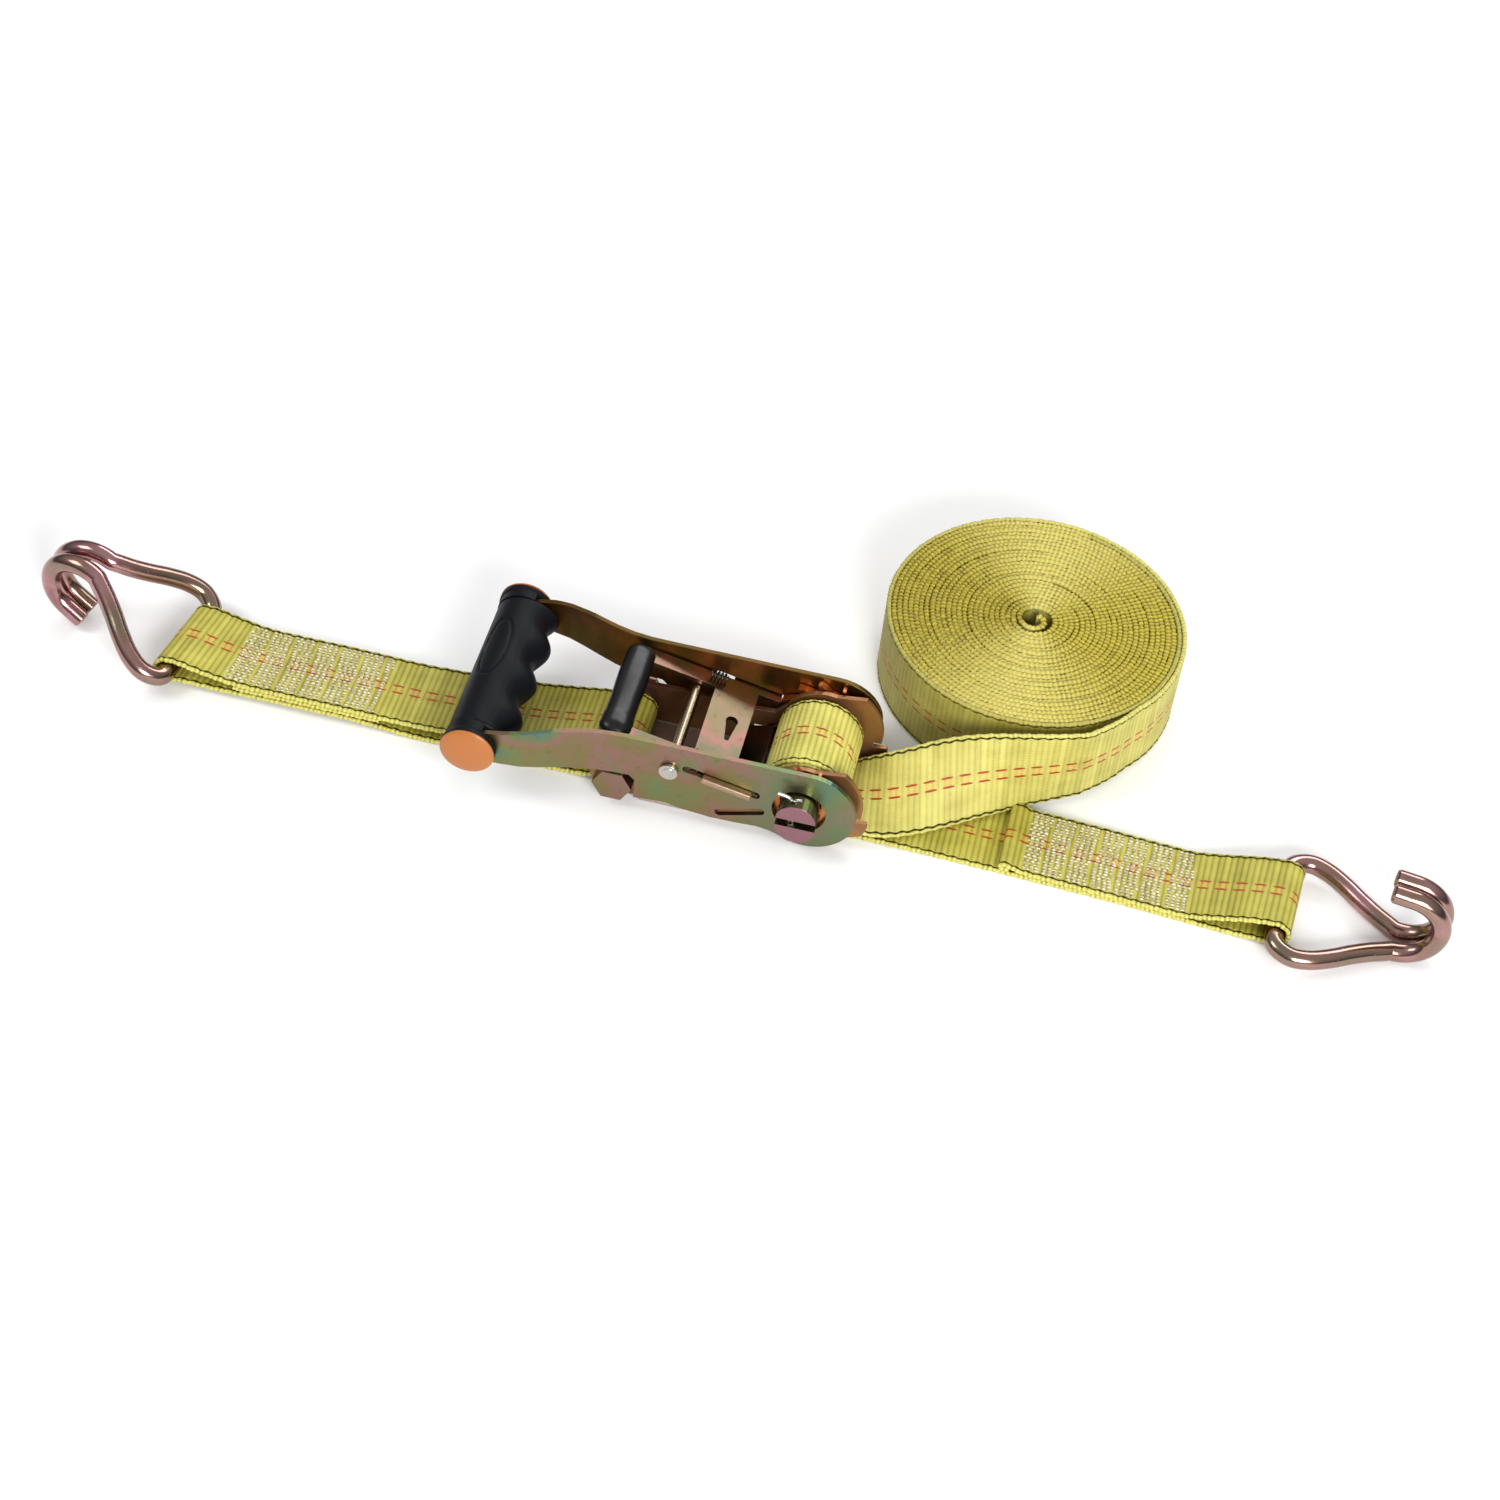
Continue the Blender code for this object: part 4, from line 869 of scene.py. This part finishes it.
hook("fixed_end_hook_wire", LEFT_BAR, LEFT_TILT, LEFT_YAW, -1, "fixed_hook", "fixed_end_hook")
hook("strap_end_hook_wire", RIGHT_BAR, RIGHT_TILT, RIGHT_YAW, 1, "strap_hook", "strap_end_hook")


def spring(node, angle, start, length, turns, radius, wire):
    """A coil spring between two bodies, pointing away from the hub."""
    start = np.array(start)
    axis = np.array([math.cos(angle), 0, math.sin(angle)])
    across = np.array([0.0, 1.0, 0.0])
    other = np.cross(axis, across)
    points = []
    for t in np.linspace(0, 1, turns * 40 + 1):
        a = 2 * math.pi * turns * t
        height = wire + (length - 2 * wire) * t
        points.append(start + axis * height
                      + across * radius * math.cos(a) + other * radius * math.sin(a))
    coil = sweep(node + "_coil", np.array(points), wire, 10, [SPRING], node=node)
    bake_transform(coil)


for tag, side in SIDES:
    spring("drive_spring_" + tag, DRIVE,
           hub_point(DRIVE, 60.4, -5.0, side * 31.2), length=11.2, turns=5, radius=2.6, wire=0.5)
spring("lock_spring", LOCK,
       hub_point(LOCK, 50.5, 0, 0), length=17.0, turns=6, radius=3.0, wire=0.55)


# ------------------------------------------------------------------ drive pawl's ears
def pawl_ear(tag, side):
    """One end of the drive pawl: a flat bar end with softened corners."""
    inner_r, outer_r, half, corner = 28.0, 57.0, 1.95, 0.8
    outline = []
    for out, off, start in ((outer_r - corner, half - corner, 0),
                            (inner_r + corner, half - corner, 90),
                            (inner_r + corner, -half + corner, 180),
                            (outer_r - corner, -half + corner, 270)):
        for k in range(5):
            t = math.radians(start + 22.5 * k)
            outline.append((out + corner * math.cos(t), off + corner * math.sin(t)))
    verts = []
    levels = ((41.0, 0.0), (44.2, 0.0), (44.6, 0.12), (44.85, 0.4))     # y and inset
    for y, inset in levels:
        for out, off in outline:
            moved = out - inset if out > (inner_r + outer_r) / 2 else out + inset
            verts.append(hub_point(DRIVE, moved, off * (1 - inset / half), side * y))
    piece("drive_pawl_ear_" + tag, verts, ring_faces(len(levels), len(outline), flip=side > 0),
          [EAR], "drive_pawl_unit", sharp=40)


for tag, side in SIDES:
    pawl_ear(tag, side)


# ------------------------------------------------------------------ grip and its ends
def grip():
    """Moulded grip: round on the -X side, swells towards the hub, an oval recess on top."""
    half_length, end_round = 52, 2.0
    stations, cols = np.linspace(-half_length, half_length, 131), 120
    verts = []
    for y in stations:
        inward = 1 - min(half_length - abs(y), end_round) / end_round
        trim = 1.6 * (1 - math.sqrt(max(0.0, 1 - inward ** 2)))
        swell = 4.6 + 3.0 * math.cos(2 * math.pi * (y + 3.5) / 29.7)
        for a in around(cols):
            cx, cz = math.cos(a), math.sin(a)
            radius_x, radius_z = 15.4 - trim, 15.0 - trim
            if cx > 0:
                radius_x += 0.985 * swell * cx ** 0.15
            # oval outline pressed in on top
            girth = math.radians(math.degrees(a) - 112) * 15
            oval = math.hypot(girth / 7.2, (y - 10.0) / 23.0)
            groove = 0.6 * math.exp(-((oval - 1.0) / 0.06) ** 2) + (0.15 if oval < 1 else 0.0)
            # two fine lengthwise lines
            line = sum(0.18 * math.exp(-((math.degrees(a) - at) / 1.6) ** 2) for at in (270, 62))
            pressed = 1 - (groove + line) / 15
            verts.append((GRIP_X + radius_x * cx * pressed, y, GRIP_Z + radius_z * cz * pressed))
    piece("handle_grip_moulding", verts, ring_faces(len(stations), cols), [GRIP_MAT],
          "handle", "handle_grip", sharp=50)


def grip_sleeve(tag, side):
    """A part ring on the -X side, between grip and cap."""
    angles = np.radians(np.linspace(64, 284, 67))
    section = ((12.4, 51.6), (15.35, 51.6), (15.35, 57.3), (12.4, 57.3))        # radius, y
    verts = [(GRIP_X - 0.5 + r * math.cos(a), side * y, GRIP_Z + r * math.sin(a))
             for a in angles for r, y in section]
    piece("grip_end_sleeve_" + tag, verts, ring_faces(len(angles), len(section), flip=side > 0),
          [GRIP_MAT], "handle", sharp=40)


def grip_end(name, profile, side, mat, node=None):
    """A turned part at the grip's end; its profile is (radius, distance outwards)."""
    angles = around(96)
    verts = np.concatenate([
        np.stack([GRIP_X - 1.0 + r * np.cos(angles), np.full(len(angles), side * (58.4 + out)),
                  GRIP_Z + r * np.sin(angles)], 1)
        for r, out in profile])
    piece(name, verts, ring_faces(len(profile), len(angles), flip=side < 0), [mat],
          "handle", node, sharp=35)


COLLAR = [(7.4, -1.35), (14.6, -1.35), (15.3, -1.1), (15.6, -0.5), (15.6, 2.3), (15.35, 2.6),
          (7.4, 2.6), (7.4, -1.35)]
CAP_R, CAP_RIM, CAP_RISE = 15.65, 3.2, 3.6
CAP = [(7.2, 2.75), (15.1, 2.75), (15.5, 2.9), (CAP_R, CAP_RIM)]
for i in range(1, 21):
    t = math.radians(90 * i / 20)
    CAP.append((CAP_R * math.cos(t) ** 0.86 if i < 20 else 0.35,
                CAP_RIM + CAP_RISE * math.sin(t) ** 1.1))

grip()
for tag, side in SIDES:
    grip_sleeve(tag, side)
    grip_end("grip_end_collar_" + tag, COLLAR, side, GRIP_MAT)
    grip_end(f"end_cap_{tag}_dome", CAP, side, CAP_MAT, "end_cap_" + tag)


def release_bar():
    """Dip-coated finger bar: a soft rounded lozenge in section, with rounded ends."""
    end_y, end_length = 37.2, 8.2
    centre_r, half_out, half_off, power = 111.8, 8.7, 5.9, 2.15
    cols = 96
    stations = np.concatenate([-end_y + end_length * np.linspace(0, 1, 22) ** 1.6,
                               np.linspace(-28, 28, 39),
                               end_y - end_length * np.linspace(1, 0, 22) ** 1.6])
    verts = []
    for y in stations:
        inward = min((end_y + 0.05 - abs(y)) / end_length, 1.0)
        size = max(max(0.0, 1 - (1 - inward) ** 2.2) ** 0.5, 0.08)
        size *= 1.0 + 0.03 * math.sin(y / 7.0) + (0.03 if y < -22 else 0.0)
        for a in around(cols):
            c, s = math.cos(a), math.sin(a)
            r = (abs(c) ** power + abs(s) ** power) ** (-1 / power) * size
            verts.append(hub_point(DRIVE, centre_r + half_out * r * c, half_off * r * s, y))
    piece("release_bar_coating", verts, ring_faces(len(stations), cols, flip=True), [BAR_MAT],
          "drive_pawl_unit", "release_bar_cover", sharp=60)


release_bar()

# ------------------------------------------------------------------ carried-over metal pieces
# material and bevel width in mm, or None for no bevel
CARRIED = {
    "base_frame": (INNER, 0.45), "webbing_bolt": (SATIN, 0.5), "webbing_bolt_nut": (SATIN, 0.5),
    "webbing_bolt_sleeve": (BRIGHT, None), "handle_arm_near": (SATIN, 0.45),
    "handle_arm_far": (GOLD, 0.45), "handle_cross_rod": (ROD, 0.4),
    "grip_core_rod": (BRIGHT, None), "half_shaft_upper": (SHAFT, 0.5),
    "half_shaft_lower": (SHAFT, 0.5), "ratchet_wheel_near": (COPPER, 0.4),
    "ratchet_wheel_far": (COPPER, 0.4), "drive_pawl": (PAWL, 0.4), "lock_pawl": (PAWL, 0.35),
}
for name, (mat, width) in CARRIED.items():
    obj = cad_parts[name]
    obj.data.materials.clear()
    obj.data.materials.append(mat)
    weld = obj.modifiers.new("weld", "WELD")
    weld.merge_threshold = 0.00001
    if width:
        flatten = obj.modifiers.new("flatten", "DECIMATE")
        flatten.decimate_type = "DISSOLVE"
        flatten.angle_limit = math.radians(1.0)
        bevel = obj.modifiers.new("edges", "BEVEL")
        bevel.width = width * MM
        bevel.segments = 3
        bevel.limit_method = "ANGLE"
        bevel.angle_limit = math.radians(38)
        bevel.harden_normals = False


# ------------------------------------------------------------------ stage, light, camera
def floor_material():
    n = Nodes(bpy.data.materials.new("pale_floor"))
    tone = n.noise(n.where(), scale=3.0)
    colour = n.mix(tone, linear((246, 246, 246)), linear((250, 250, 250)))
    return n.finish(Base_Color=colour, Roughness=0.7, Specular_IOR_Level=0.2)


def studio_floor():
    half, z = 6, -0.0003
    mesh = bpy.data.meshes.new("studio_floor")
    corners = [(-half, -half, z), (half, -half, z), (half, half, z), (-half, half, z)]
    mesh.from_pydata(corners, [], [(0, 1, 2, 3)])
    floor = bpy.data.objects.new("studio_floor", mesh)
    mesh.materials.append(floor_material())
    bpy.context.scene.collection.objects.link(floor)


def studio_world():
    """Grey surroundings, brightening upwards from a darker band above the horizon."""
    world = bpy.data.worlds.new("studio")
    bpy.context.scene.world = world
    n = Nodes(world, "ShaderNodeOutputWorld")
    height = n.split(n.add("ShaderNodeTexCoord").outputs["Generated"])[2]
    colour = n.ramp(height, [(0.0, (0.20, 0.20, 0.21, 1)), (0.14, (0.10, 0.10, 0.11, 1)),
                             (0.40, (0.34, 0.34, 0.35, 1)), (0.8, (0.66, 0.66, 0.66, 1))])
    background = n.add("ShaderNodeBackground", {"Color": colour, "Strength": 1.0})
    n.tree.links.new(background.outputs[0], n.out.inputs[0])


def area(name, place, target, size, power):
    data = bpy.data.lights.new(name, "AREA")
    data.shape = "RECTANGLE"
    data.size, data.size_y = size
    data.energy = power
    data.color = (1, 1, 1)
    lamp = bpy.data.objects.new(name, data)
    bpy.context.scene.collection.objects.link(lamp)
    lamp.location = place
    lamp.rotation_euler = (Vector(target) - Vector(place)).to_track_quat("-Z", "Y").to_euler()


def camera():
    """Looks down at the target from the near side, slightly turned and rolled."""
    target, distance = Vector((22.85, 24.66, 0)), 1750.85
    down, roll, yaw = math.radians(46.25), math.radians(6.8), math.radians(-7.85)
    forward = Vector((math.sin(yaw) * math.cos(down), math.cos(yaw) * math.cos(down),
                      -math.sin(down)))
    right = Vector((math.cos(yaw), -math.sin(yaw), 0))
    up = right.cross(forward)
    axis_x = right * math.cos(roll) + up * math.sin(roll)
    axis_y = -right * math.sin(roll) + up * math.cos(roll)
    data = bpy.data.cameras.new("camera")
    data.sensor_width = 36.0
    data.lens = 72.6204
    data.clip_end = 20
    cam = bpy.data.objects.new("camera", data)
    bpy.context.scene.collection.objects.link(cam)
    pose = Matrix((axis_x, axis_y, -forward)).transposed().to_4x4()
    pose.translation = target * MM - forward * distance * MM
    cam.matrix_world = pose
    bpy.context.scene.camera = cam


studio_floor()
studio_world()
area("key", place=(1.05, -1.85, 1.12), target=(0.05, 0.02, 0), size=(1.1, 0.9), power=60.0)
area("fill", place=(-1.5, -0.5, 1.7), target=(0, 0, 0), size=(0.9, 0.9), power=14.0)
area("back", place=(0.3, 1.6, 1.4), target=(0, 0.1, 0), size=(1.6, 0.6), power=16.0)
camera()
bpy.context.scene.view_settings.view_transform = "Standard"
bpy.context.scene.view_settings.look = "None"
